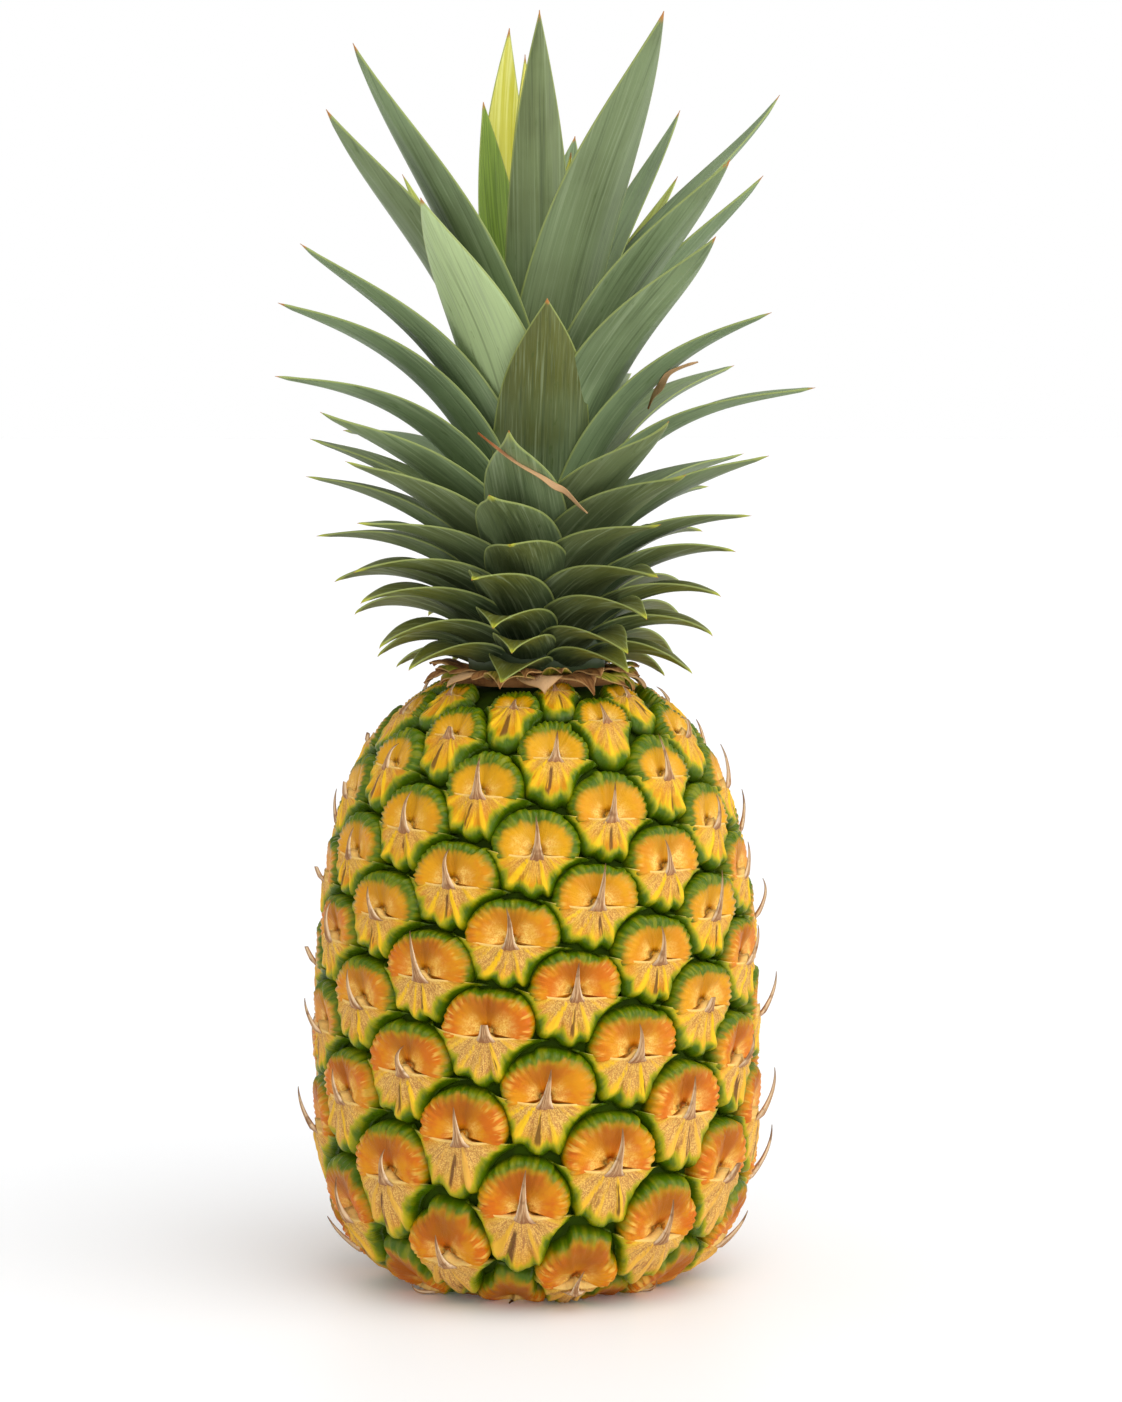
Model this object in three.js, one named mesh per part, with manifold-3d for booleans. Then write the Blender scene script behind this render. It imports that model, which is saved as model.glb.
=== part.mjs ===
// A whole fresh pineapple that stands on its base, with its leafy crown.
//
// Units are millimetres and +Z is up. The origin is the middle of the cut stalk end, in the plane
// that the fruit stands on. Azimuths are in degrees, from the front (-Y) towards the right (+X).
//
// The fruit is a body of revolution covered with eyes. Each eye is a cushion with a folded bract
// over its lower half and a dry spine that rises from the bract. The eyes lie on a spiral rule,
// 7 rows one way and 11 the other. The crown is a short stem with leaves in spiral ranks: short
// ones that arch down at the bottom, and long upright ones at the top.

import * as THREE from "three";
import { mergeVertices } from "three/addons/utils/BufferGeometryUtils.js";
import Module from "manifold-3d";

const wasm = await Module();
wasm.setup();

// Sizes of the fruit
const WIDEST_RADIUS = 61; // of the skin, midway between the grooves and the tops of the eyes
const WIDEST_HEIGHT = 62;
const UPPER_REACH = 110.5; // from the widest level to the top of the skin
const LOWER_REACH = 64.5; // from the widest level down, a little past the standing plane
const UPPER_SQUARENESS = 2.85; // exponents of the two half superellipses
const LOWER_SQUARENESS = 3.1;
const DIMPLE_DEPTH = 5; // round the stalk, under the fruit
const DIMPLE_RADIUS = 27;
const BASE_EDGE_RADIUS = 13.5; // the skin ends here, round the stalk
const TOP_EDGE_RADIUS = 21; // and here, under the crown
const SEAT_RADIUS = 24.2; // of the flat spot that the crown stands on
const ROUND_SIDES = 32;
const CLEARANCE = 0.35; // between nodes that touch

// The spiral rule of the eyes
const EYE_STEP = -99.65; // degrees from one eye to the next
const NEIGHBOURS = { right: 7, left: 11, across: 18 }; // numbers between an eye and those above it
const EYE_ZERO_AZIMUTH = 3.1;
const EYE_ZERO_HEIGHT = 60.6;
const EYE_REFERENCE_AREA = 600; // mm2, the area at which an eye has the sizes in EYE
const EYE_AREAS = [[0, 800], [30, 740], [64, 618], [90, 535], [118, 474], [172, 460]]; // height, mm2
// height, and the most that an eye's area may be there as a share of the radius squared
const EYE_GIRTHS = [[0, 0.27], [8, 0.4], [150, 0.36], [160, 0.26], [172, 0.2]];
const ALONG_WOBBLE = 0.7; // mm
const ROUND_WOBBLE = 0.9; // degrees
const LOWEST_EYE_RADIUS = 21; // eyes stop here round the stalk
const HIGHEST_EYE_RADIUS = 25; // and here round the crown

// One eye, in the frame of the skin: x to the right, y up the fruit, w outwards. The eye fills a
// six-sided cell, whose corners it shares with its neighbours. CELL is the cell of an eye midway
// up the fruit, from its right corner round to the left, and EYE holds the points inside it.
const CELL = [[13.7, -2.2], [10.2, 13.4], [-3.5, 15.6], [-13.7, 2.2], [-10.2, -13.4], [3.5, -15.6]];
const CORNER_LIFT = -2.8;
const EYE = {
  // shoulder of the round cushion over the bract, from right to left, and its basin
  shoulder0: [11.4, 3.4, 1.0],
  shoulder1: [8.2, 9.6, 1.7],
  shoulder2: [-0.6, 12.6, 1.8],
  shoulder3: [-8.2, 9.6, 1.7],
  shoulder4: [-11.4, 3.4, 1.0],
  basin: [0, 5.6, 0.3],
  // foot of the bract's lip, on the cushion
  foot1: [6.2, 0.9, 0.5],
  foot2: [0, 1.8, 0.4],
  foot3: [-6.2, 0.9, 0.5],
  // the bract's lip, from its right wing to its left
  lip0: [12.4, -1.0, -0.9],
  lip1: [6.2, -0.7, 2.3],
  lip3: [-6.2, -0.7, 2.3],
  lip4: [-12.4, 0.7, -0.9],
  // foot of the spine
  spine1: [1.8, -0.6, 3.0],
  spine2: [0, -2.4, 3.3],
  spine3: [-1.8, -0.6, 3.0],
  // the bract's folds, its flanks and its point
  fold1: [4.6, -7.4, 1.6],
  fold3: [-4.6, -7.4, 1.6],
  flank1: [9.4, -6.4, 0.2],
  flank3: [-9.4, -6.4, 0.2],
  point: [0.6, -12.6, -0.6],
};
// The spine's tip: y and w. It wobbles by these shares, and sideways by these mm. Spines under the
// fruit and round the crown are shorter.
const SPINE_TIP = [9.5, 6];
const SPINE_WOBBLES = { length: 0.25, lean: 0.6, sideways: 1.6 };
const SHORT_SPINE = { share: 0.6, below: 6, above: 150 };
// The eye's faces: c0 to c5 are the cell's corners and tip is the spine's
const EYE_FACES = `
  c0 c1 shoulder0, c1 shoulder1 shoulder0, c1 shoulder2 shoulder1, c1 c2 shoulder2,
  c2 shoulder3 shoulder2, c2 c3 shoulder3, c3 shoulder4 shoulder3, c3 lip4 shoulder4,
  lip4 foot3 shoulder4, lip4 lip3 foot3, c0 shoulder0 lip0, lip0 shoulder0 foot1, lip0 foot1 lip1,
  shoulder0 shoulder1 basin, shoulder1 shoulder2 basin, shoulder2 shoulder3 basin,
  shoulder3 shoulder4 basin, shoulder0 basin foot1, basin foot2 foot1, basin foot3 foot2,
  basin shoulder4 foot3, foot1 foot2 spine1, foot1 spine1 lip1, foot2 foot3 spine3,
  foot3 lip3 spine3, spine1 foot2 tip, foot2 spine3 tip, spine3 spine2 tip, spine2 spine1 tip,
  spine2 fold1 spine1, spine1 fold1 lip1, lip1 fold1 flank1, lip1 flank1 lip0, lip0 flank1 c0,
  flank1 c5 c0, fold1 point flank1, point c5 flank1, spine2 point fold1, spine2 fold3 point,
  spine3 fold3 spine2, lip3 fold3 spine3, lip3 flank3 fold3, lip4 flank3 lip3, c3 flank3 lip4,
  c3 c4 flank3, fold3 flank3 point, flank3 c4 point, point c4 c5
`;

// Sizes of the stalk end
const STALK_RADIUS = 11.5;
const STALK_HEIGHT = 9;

// Sizes of the crown
const STEM_BOTTOM = 171;
// radius, height
const STEM_PROFILE = [[19, 171], [19.5, 177], [17, 196], [12.5, 216], [8, 230], [4.5, 236]];
const STEM_SIDES = 14;
const RANK_LEAVES = 54; // leaves that follow the rule, from the bottom up
const RANK_STEP = 135.1; // degrees from one leaf to the next
const RANK_ZERO_AZIMUTH = -15;
const AZIMUTH_WOBBLE = 6;
const REACH_WOBBLE = 3;
const DROOP_WOBBLE = 8; // degrees, of the tip
const RANK_WIDTH_WOBBLE = 0.08; // share
const ROOT_HANDLE = 0.5; // of an arch's curve, as shares of its reach
const TIP_HANDLE = 0.28;
const FRONT_LIFT = 5.5; // the ranked leaves at the front droop this much less
const FRONT_STRAIGHTEN = 26; // degrees, at their tips
const RANK_TIP_HANDLE = 0.15; // the ranked leaves hook at the tip
const BLADE_THICKNESS = 2.4; // along the middle, at the root
const LEAF_ROOT_SINK = 4;
// how wide a leaf is along its length, as a share of its widest
const LEAF_SHAPE = [[0, 0.85], [0.2, 1], [0.4, 0.95], [0.6, 0.77], [0.78, 0.49], [0.9, 0.24], [1, 0]];
const RANK_LEAF_SHAPE = [[0, 0.9], [0.2, 1], [0.4, 0.86], [0.6, 0.54], [0.8, 0.2], [1, 0]];

// How a ranked leaf changes from the lowest (0) to the highest (1) of the ranks.
// share, tip radius, tip height, base height, angle at the base, angle at the tip, width
const RANKS = [
  [0, 41, 168.5, 172, 38, -60, 17],
  [0.15, 48, 176, 175.5, 40, -56, 19],
  [0.3, 54, 184.5, 180, 43, -50, 21],
  [0.45, 57.5, 195, 185, 46, -38, 22],
  [0.6, 60, 208, 191, 48, -18, 23],
  [0.75, 63, 221.5, 197.5, 47, 4, 24],
  [0.9, 66, 235, 203, 46, 20, 24],
  [1, 69, 244, 208, 47, 26, 23],
];

// The long leaves: azimuth, tip radius, tip height, angle at the tip, width
const LONG_LEAVES = [
  [-62, 80.5, 256, 8, 22],
  [72, 81, 253, 10, 21],
  [125, 71, 260, 18, 20],
  [-125, 70, 241, 5, 21],
  [158, 72, 258, 10, 21],
  [-66.5, 77.5, 276, 18, 22],
  [65, 71, 273.5, 20, 20],
  [5.5, 40, 277, 66, 27],
  [-166, 68, 282, 25, 22],
  [-60, 73, 292, 36, 23],
  [43.5, 72, 293, 44, 24],
  [-28, 66, 303, 54, 26],
  [70, 67, 311, 48, 20],
  [-150, 55, 300, 45, 22],
  [49.5, 69, 314, 50, 25],
  [-61, 65, 328.5, 58, 25],
  [115, 78, 338, 54, 21],
  [170, 60, 328, 55, 22],
  [132, 57.5, 334, 60, 18],
  [135, 58, 315, 54, 16],
  [-55, 60.5, 346, 64, 26],
  [40, 53, 354, 68, 29],
  [-112, 41.5, 314, 62, 17],
  [12, 6, 358, 85, 20],
];
const LONG_BASE = [[240, 207], [300, 219], [360, 229]]; // base height for each tip height
// angle at the base for each tip height
const LONG_RISE = [[240, 58], [280, 72], [320, 78], [360, 86]];

// The young leaves in the middle of the crown: azimuth, tip radius, tip height,
// angle at the base and the tip, width
const HEART_LEAVES = [
  [-150, 15.5, 355, 67, 103, 20],
  [-156, 8, 347, 80, 93, 13],
  [-125, 18.5, 334, 71, 86, 26],
  [145, 17, 320, 84, 82, 13],
  [-160, 20, 303, 84, 80, 12],
];
const HEART_BOTTOM = 237;
const HEART_RADIUS = 4;
const HEART_HEIGHT = 14;

// Dry bracts round the foot of the crown
const COLLAR_BOTTOM = 170;
const COLLAR_BLADES = 17;
const COLLAR_INNER_RADIUS = 20;
const COLLAR_THICKNESS = 3.4;
const COLLAR_HEIGHT = 3;
const COLLAR_REACH = 34; // radius of the tips
const COLLAR_BLADE_WIDTH = 10;

const rad = THREE.MathUtils.degToRad;

// A repeatable number from -1 to 1 for piece k; salt gives different draws for the same piece
function wobble(k, salt) {
  const v = Math.sin(k * 12.9898 + salt * 78.233) * 43758.5453;
  return 2 * (v - Math.floor(v)) - 1;
}

// The value at x of a table of rows [x, value, value...], straight between its rows
function lookUp(rows, x, column = 1) {
  if (x <= rows[0][0]) return rows[0][column];
  for (let i = 1; i < rows.length; i++) {
    if (x <= rows[i][0]) {
      const t = (x - rows[i - 1][0]) / (rows[i][0] - rows[i - 1][0]);
      return THREE.MathUtils.lerp(rows[i - 1][column], rows[i][column], t);
    }
  }
  return rows[rows.length - 1][column];
}

// The skin's outline, as points [radius, height] with their distance along it, from below to the top
function skinOutline() {
  const steps = 600;
  const points = [];
  let along = 0;
  for (let i = 0; i <= steps; i++) {
    const angle = (i / steps - 0.5) * Math.PI;
    const up = angle > 0;
    const power = 2 / (up ? UPPER_SQUARENESS : LOWER_SQUARENESS);
    const radius = WIDEST_RADIUS * Math.max(0, Math.cos(angle)) ** power;
    const rise = Math.abs(Math.sin(angle)) ** power;
    const hollow = up ? 0 : DIMPLE_DEPTH * Math.max(0, 1 - (radius / DIMPLE_RADIUS) ** 2) ** 2;
    const height = WIDEST_HEIGHT + (up ? UPPER_REACH : -LOWER_REACH) * rise + hollow;
    const last = points[points.length - 1];
    if (last) along += Math.hypot(radius - last.radius, height - last.height);
    points.push({ radius, height, along });
  }
  return points;
}

const OUTLINE = skinOutline();
const LOW_EDGE = OUTLINE.find((p) => p.radius >= BASE_EDGE_RADIUS).along;
const HIGH_EDGE = OUTLINE.findLast((p) => p.radius >= TOP_EDGE_RADIUS).along;

// The outline's point at a distance along it, with its direction
function skinAt(along) {
  const last = OUTLINE.length - 1;
  let low = 0;
  let high = last;
  while (high - low > 1) {
    const middle = (low + high) >> 1;
    if (OUTLINE[middle].along <= along) low = middle;
    else high = middle;
  }
  const a = OUTLINE[low];
  const b = OUTLINE[high];
  const t = (along - a.along) / (b.along - a.along);
  const dr = b.radius - a.radius;
  const dz = b.height - a.height;
  const length = Math.hypot(dr, dz);
  return { radius: a.radius + t * dr, height: a.height + t * dz, dr: dr / length, dz: dz / length };
}

const radial = (azimuth) => new THREE.Vector3(Math.sin(azimuth), -Math.cos(azimuth), 0);
const UP = new THREE.Vector3(0, 0, 1);

// The point that lies w outwards from the skin
function skinPoint(along, azimuth, w) {
  const { radius, height, dr, dz } = skinAt(along);
  const r = Math.max(0.5, radius + w * dz);
  return radial(azimuth).multiplyScalar(r).addScaledVector(UP, height - w * dr);
}

// Where the eyes are, by number: the distance along the outline, the azimuth and the size. Eyes
// past either end of the skin are there too, for the corners that their neighbours share.
function eyePlaces() {
  const places = new Map();
  const area = (at) => {
    const widest = lookUp(EYE_GIRTHS, at.height) * Math.max(at.radius, LOWEST_EYE_RADIUS) ** 2;
    return Math.min(lookUp(EYE_AREAS, at.height), widest);
  };
  const start = OUTLINE.find((p) => p.height >= EYE_ZERO_HEIGHT && p.radius > WIDEST_RADIUS / 2).along;
  for (const way of [1, -1]) {
    const edge = way === 1 ? HIGHEST_EYE_RADIUS : LOWEST_EYE_RADIUS;
    let along = start;
    let past = 0;
    for (let k = 0; past <= NEIGHBOURS.across; k++) {
      const before = skinAt(along);
      if (k > 0) along += (way * area(before)) / (2 * Math.PI * Math.max(edge, before.radius));
      const at = skinAt(along);
      const ended = past > 0 || at.radius < edge;
      if (ended) past++;
      const number = way * k;
      places.set(number, {
        number,
        along: along + (ended ? 0 : ALONG_WOBBLE * wobble(number, 1)),
        azimuth: rad(EYE_ZERO_AZIMUTH + EYE_STEP * number + (ended ? 0 : ROUND_WOBBLE * wobble(number, 2))),
        scale: Math.sqrt(area(at) / EYE_REFERENCE_AREA),
        radius: at.radius,
        height: at.height,
        grown: !ended,
      });
    }
  }
  return places;
}

function solidFrom(points, faces) {
  const vertProperties = new Float32Array(points.flatMap((p) => p.toArray()));
  return new wasm.Manifold(new wasm.Mesh({ numProp: 3, vertProperties, triVerts: new Uint32Array(faces) }));
}

// A three.js geometry as a solid
function solidOf(geometry) {
  const bare = geometry.clone();
  bare.deleteAttribute("normal");
  bare.deleteAttribute("uv");
  const merged = mergeVertices(bare, 1e-4);
  return new wasm.Manifold(
    new wasm.Mesh({
      numProp: 3,
      vertProperties: new Float32Array(merged.attributes.position.array),
      triVerts: new Uint32Array(merged.index.array),
    }),
  );
}

// The largest body of a solid: a scrap that a cut left loose is dropped
function largestBody(solid) {
  return solid.decompose().sort((a, b) => b.volume() - a.volume())[0];
}

// A solid with a margin on every side: what is cut with it stays clear of the solid
function swollen(solid, margin) {
  const shifts = [-margin, margin].flatMap((d) => [[d, 0, 0], [0, d, 0], [0, 0, d]]);
  return wasm.Manifold.union([solid, ...shifts.map((shift) => solid.translate(shift))]);
}

function meshOf(name, solid, look) {
  const mesh = solid.getMesh();
  const positions = new Float32Array(mesh.numVert * 3);
  for (let i = 0; i < mesh.numVert; i++) {
    const from = i * mesh.numProp;
    positions.set(mesh.vertProperties.subarray(from, from + 3), i * 3);
  }
  const geometry = new THREE.BufferGeometry()
    .setAttribute("position", new THREE.BufferAttribute(positions, 3))
    .setIndex(new THREE.BufferAttribute(mesh.triVerts, 1));
  geometry.computeVertexNormals();
  const made = new THREE.Mesh(geometry, new THREE.MeshStandardMaterial(look));
  made.name = name;
  return made;
}

// A solid of revolution about Z from points [radius, height], closed on the axis
function turned(points, sides) {
  const outline = points.map(([radius, height]) => new THREE.Vector2(radius, height));
  return solidOf(new THREE.LatheGeometry(outline, sides).rotateX(Math.PI / 2));
}

// The radius that turns distances round the fruit near an eye into angles
const girthOf = (eye) => Math.max(eye.radius, LOWEST_EYE_RADIUS);

// A place on the skin relative to an eye: x to the right and y up, in mm
function offsetFrom(eye, other) {
  const turn = other.azimuth - eye.azimuth;
  return [Math.atan2(Math.sin(turn), Math.cos(turn)) * girthOf(eye), other.along - eye.along];
}

// The middle of three neighbouring eyes, where their cells meet
function cornerOf(places, numbers) {
  const [first, ...others] = numbers.map((n) => places.get(n));
  const [second, third] = others.map((other) => offsetFrom(first, other));
  const x = (second[0] + third[0]) / 3;
  const y = (second[1] + third[1]) / 3;
  const along = THREE.MathUtils.clamp(first.along + y, LOW_EDGE, HIGH_EDGE);
  return { azimuth: first.azimuth + x / girthOf(first), along };
}

// How far a six-sided cell reaches from its middle, in a direction
function cellReach(corners, angle) {
  const dx = Math.cos(angle);
  const dy = Math.sin(angle);
  let reach = Infinity;
  corners.forEach(([ax, ay], i) => {
    const [bx, by] = corners[(i + 1) % corners.length];
    const facing = dx * (by - ay) - dy * (bx - ax);
    const distance = (ax * (by - ay) - ay * (bx - ax)) / facing;
    if (facing > 1e-9 && distance > 0) reach = Math.min(reach, distance);
  });
  return reach;
}

// The whole skin of the fruit as one closed surface: an eye in each cell, and a fan over each end
function skin() {
  const places = eyePlaces();
  const points = [];
  const numbers = new Map();
  const faces = [];
  const { right, left, across } = NEIGHBOURS;
  const pointNumber = (key, make) => {
    if (!numbers.has(key)) {
      numbers.set(key, points.length);
      points.push(make());
    }
    return numbers.get(key);
  };
  for (const eye of places.values()) {
    if (!eye.grown) continue;
    const n = eye.number;
    const trios = [
      [n - left, n, n + right],
      [n, n + right, n + across],
      [n, n + left, n + across],
      [n - right, n, n + left],
      [n - across, n - right, n],
      [n - across, n - left, n],
    ];
    const corners = trios.map((trio) => cornerOf(places, trio));
    const cell = corners.map((corner) => offsetFrom(eye, corner));
    const at = {};
    trios.forEach((trio, i) => {
      const { along, azimuth } = corners[i];
      at[`c${i}`] = pointNumber(trio.join(), () => skinPoint(along, azimuth, CORNER_LIFT));
    });
    const inside = (x, y, w) => {
      const angle = Math.atan2(y, x);
      const share = Math.hypot(x, y) / cellReach(CELL, angle);
      const far = share * cellReach(cell, angle);
      const turn = (far * Math.cos(angle)) / girthOf(eye);
      return skinPoint(eye.along + far * Math.sin(angle), eye.azimuth + turn, w);
    };
    for (const [name, [x, y, w]] of Object.entries(EYE)) {
      at[name] = pointNumber(`${n} ${name}`, () => inside(x, y, w * eye.scale));
    }
    at.tip = pointNumber(`${n} tip`, () => {
      const isShort = eye.height < SHORT_SPINE.below || eye.height > SHORT_SPINE.above;
      const share = isShort ? SHORT_SPINE.share : 1;
      const [tipY, tipW] = SPINE_TIP;
      const footW = EYE.spine1[2];
      const length = share * eye.scale * tipY * (1 + SPINE_WOBBLES.length * wobble(n, 4));
      const lean = footW + share * (tipW - footW) * (1 + SPINE_WOBBLES.lean * wobble(n, 5));
      const turn = (SPINE_WOBBLES.sideways * wobble(n, 6)) / girthOf(eye);
      return skinPoint(eye.along + length, eye.azimuth + turn, lean);
    });
    for (const face of EYE_FACES.trim().split(/,\s*/)) {
      faces.push(...face.split(" ").map((name) => at[name]));
    }
  }
  return solidFrom(points, [...faces, ...endFans(points, faces)]);
}

// Faces that close the open edges of a surface, each to a new point on the axis
function endFans(points, faces) {
  const next = new Map();
  const edges = new Set();
  for (let i = 0; i < faces.length; i += 3) {
    for (let k = 0; k < 3; k++) edges.add(`${faces[i + k]} ${faces[i + ((k + 1) % 3)]}`);
  }
  for (const edge of edges) {
    const [a, b] = edge.split(" ").map(Number);
    if (!edges.has(`${b} ${a}`)) next.set(b, a);
  }
  const fans = [];
  while (next.size) {
    const loop = [next.keys().next().value];
    while (next.get(loop[loop.length - 1]) !== loop[0]) loop.push(next.get(loop[loop.length - 1]));
    const height = loop.reduce((sum, p) => sum + points[p].z, 0) / loop.length;
    points.push(new THREE.Vector3(0, 0, height));
    loop.forEach((p, i) => fans.push(p, loop[(i + 1) % loop.length], points.length - 1));
    loop.forEach((p) => next.delete(p));
  }
  return fans;
}

// Everything between two levels
function slab(low, high) {
  const wide = 4 * WIDEST_RADIUS;
  return solidOf(new THREE.BoxGeometry(wide, wide, high - low).translate(0, 0, (low + high) / 2));
}

function fruit() {
  const pocket = turned(
    [
      [0, -1],
      [STALK_RADIUS + CLEARANCE, -1],
      [STALK_RADIUS + CLEARANCE, STALK_HEIGHT + CLEARANCE],
      [0, STALK_HEIGHT + CLEARANCE],
    ],
    ROUND_SIDES,
  );
  const seat = turned(
    [
      [0, COLLAR_BOTTOM - CLEARANCE],
      [SEAT_RADIUS, COLLAR_BOTTOM - CLEARANCE],
      [SEAT_RADIUS + 2, COLLAR_BOTTOM + 40],
      [0, COLLAR_BOTTOM + 40],
    ],
    ROUND_SIDES,
  );
  return largestBody(skin().subtract(slab(-60, 0)).subtract(pocket).subtract(seat));
}

function stalkEnd() {
  return turned(
    [
      [0, 0],
      [STALK_RADIUS, 0],
      [STALK_RADIUS, STALK_HEIGHT],
      [0, STALK_HEIGHT],
    ],
    24,
  );
}

// A leaf: a blade hollowed towards the stem, along an arch from the stem to its tip.
// The arch lies in the upright plane at the leaf's azimuth.
function leaf({
  azimuth,
  base,
  tip,
  rise,
  tipAngle,
  tipHandle = TIP_HANDLE,
  shape = LEAF_SHAPE,
  width,
  stations,
  hollow,
}) {
  const out = radial(azimuth);
  const across = new THREE.Vector3(Math.cos(azimuth), Math.sin(azimuth), 0);
  const reach = Math.hypot(tip[0] - base[0], tip[1] - base[1]);
  const handle = ([r, z], angle, length) =>
    new THREE.Vector2(r + length * Math.cos(angle), z + length * Math.sin(angle));
  const arch = new THREE.CubicBezierCurve(
    new THREE.Vector2(...base),
    handle(base, rise, ROOT_HANDLE * reach),
    handle(tip, tipAngle, -tipHandle * reach),
    new THREE.Vector2(...tip),
  );
  // lift is towards the upper face, which looks at the stem
  const place = (t, side, lift) => {
    const at = arch.getPoint(t);
    const along = arch.getTangent(t);
    const r = at.x - lift * along.y;
    const z = at.y + lift * along.x;
    return out.clone().multiplyScalar(r).addScaledVector(across, side).addScaledVector(UP, z);
  };
  const points = [];
  const faces = [];
  for (let i = 0; i < stations; i++) {
    const t = i / stations;
    const half = (width / 2) * lookUp(shape, t);
    const curl = hollow * half * (1 - 0.35 * t);
    const lift = (BLADE_THICKNESS / 2) * (1 - 0.5 * t);
    points.push(place(t, -half, curl), place(t, 0, -lift), place(t, half, curl), place(t, 0, lift));
  }
  points.push(place(1, 0, 0));
  const ring = 4;
  const tipIndex = points.length - 1;
  faces.push(0, 3, 1, 1, 3, 2);
  for (let i = 0; i < stations; i++) {
    for (let k = 0; k < ring; k++) {
      const a = i * ring + k;
      const b = i * ring + ((k + 1) % ring);
      if (i + 1 < stations) faces.push(a, b, b + ring, a, b + ring, a + ring);
      else faces.push(a, b, tipIndex);
    }
  }
  return solidFrom(points, faces);
}

// The stem's radius at a height
const stemRadius = (height) => lookUp(STEM_PROFILE.map(([radius, z]) => [z, radius]), height);

function rankLeaves() {
  return Array.from({ length: RANK_LEAVES }, (_, k) => {
    const share = k / (RANK_LEAVES - 1);
    const [tipRadius, tipHeight, baseHeight, rise, tipAngle, width] = [1, 2, 3, 4, 5, 6].map((c) =>
      lookUp(RANKS, share, c),
    );
    const azimuth = rad(RANK_ZERO_AZIMUTH + RANK_STEP * k + AZIMUTH_WOBBLE * wobble(k, 11));
    const frontness = Math.max(0, Math.cos(azimuth)) ** 2;
    const lift = FRONT_LIFT * frontness + REACH_WOBBLE * wobble(k, 13);
    const droop = FRONT_STRAIGHTEN * frontness + DROOP_WOBBLE * wobble(k, 14);
    return leaf({
      azimuth,
      base: [stemRadius(baseHeight) - LEAF_ROOT_SINK, baseHeight],
      tip: [tipRadius + REACH_WOBBLE * wobble(k, 12), tipHeight + lift],
      rise: rad(rise),
      tipAngle: rad(tipAngle + droop),
      width: width * (1 + RANK_WIDTH_WOBBLE * wobble(k, 15)),
      tipHandle: RANK_TIP_HANDLE,
      shape: RANK_LEAF_SHAPE,
      stations: 5,
      hollow: 0.42,
    });
  });
}

function longLeaves() {
  return LONG_LEAVES.map(([azimuth, tipRadius, tipHeight, tipAngle, width]) => {
    const baseHeight = lookUp(LONG_BASE, tipHeight);
    return leaf({
      azimuth: rad(azimuth),
      base: [Math.max(3, stemRadius(baseHeight) - LEAF_ROOT_SINK), baseHeight],
      tip: [tipRadius, tipHeight],
      rise: rad(lookUp(LONG_RISE, tipHeight)),
      tipAngle: rad(tipAngle),
      width,
      stations: 6,
      hollow: 0.36,
    });
  });
}

// The bud and the young leaves
function heart() {
  const bud = turned(
    [
      [0, HEART_BOTTOM],
      [HEART_RADIUS, HEART_BOTTOM],
      [0.7 * HEART_RADIUS, HEART_BOTTOM + HEART_HEIGHT],
      [0, HEART_BOTTOM + HEART_HEIGHT],
    ],
    10,
  );
  const leaves = HEART_LEAVES.map(([azimuth, tipRadius, tipHeight, rise, tipAngle, width]) =>
    leaf({
      azimuth: rad(azimuth),
      base: [1.5, HEART_BOTTOM + 1],
      tip: [tipRadius, tipHeight],
      rise: rad(rise),
      tipAngle: rad(tipAngle),
      width,
      stations: 5,
      hollow: 0.4,
    }),
  );
  return wasm.Manifold.union([bud, ...leaves]);
}

function crown(heartLeaves, fruitBody) {
  const stem = turned([[0, STEM_BOTTOM], ...STEM_PROFILE, [0, STEM_PROFILE.at(-1)[1]]], STEM_SIDES);
  const whole = wasm.Manifold.union([stem, ...rankLeaves(), ...longLeaves()]);
  const shoulder = fruitBody.intersect(slab(STEM_BOTTOM - 20, STEM_BOTTOM + 20));
  const clear = (rest, solid) => rest.subtract(swollen(solid, CLEARANCE));
  return largestBody([heartLeaves, shoulder].reduce(clear, whole));
}

// The ring of dry bracts, cut clear of what it lies between
function collar(neighbours) {
  const inner = COLLAR_INNER_RADIUS;
  const ring = turned(
    [
      [inner, COLLAR_BOTTOM],
      [inner + COLLAR_THICKNESS, COLLAR_BOTTOM],
      [inner + COLLAR_THICKNESS, COLLAR_BOTTOM + COLLAR_HEIGHT],
      [inner, COLLAR_BOTTOM + COLLAR_HEIGHT],
      [inner, COLLAR_BOTTOM],
    ],
    COLLAR_BLADES,
  );
  const blades = Array.from({ length: COLLAR_BLADES }, (_, k) =>
    leaf({
      azimuth: rad((360 / COLLAR_BLADES) * (k + 0.3 * wobble(k, 21))),
      base: [inner + 1.2, COLLAR_BOTTOM + COLLAR_HEIGHT / 2],
      tip: [COLLAR_REACH + 2.5 * wobble(k, 22), COLLAR_BOTTOM + COLLAR_HEIGHT + 1.5 * wobble(k, 23)],
      rise: rad(35),
      tipAngle: rad(-30),
      width: COLLAR_BLADE_WIDTH,
      stations: 2,
      hollow: 0.3,
    }),
  );
  const space = slab(COLLAR_BOTTOM - 5, COLLAR_BOTTOM + 15);
  const clear = (rest, solid) => rest.subtract(swollen(solid.intersect(space), CLEARANCE));
  return largestBody(neighbours.reduce(clear, wasm.Manifold.union([ring, ...blades])));
}

const fruitBody = fruit();
const heartLeaves = heart();
const crownLeaves = crown(heartLeaves, fruitBody);
const collarBracts = collar([fruitBody, crownLeaves]);

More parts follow.
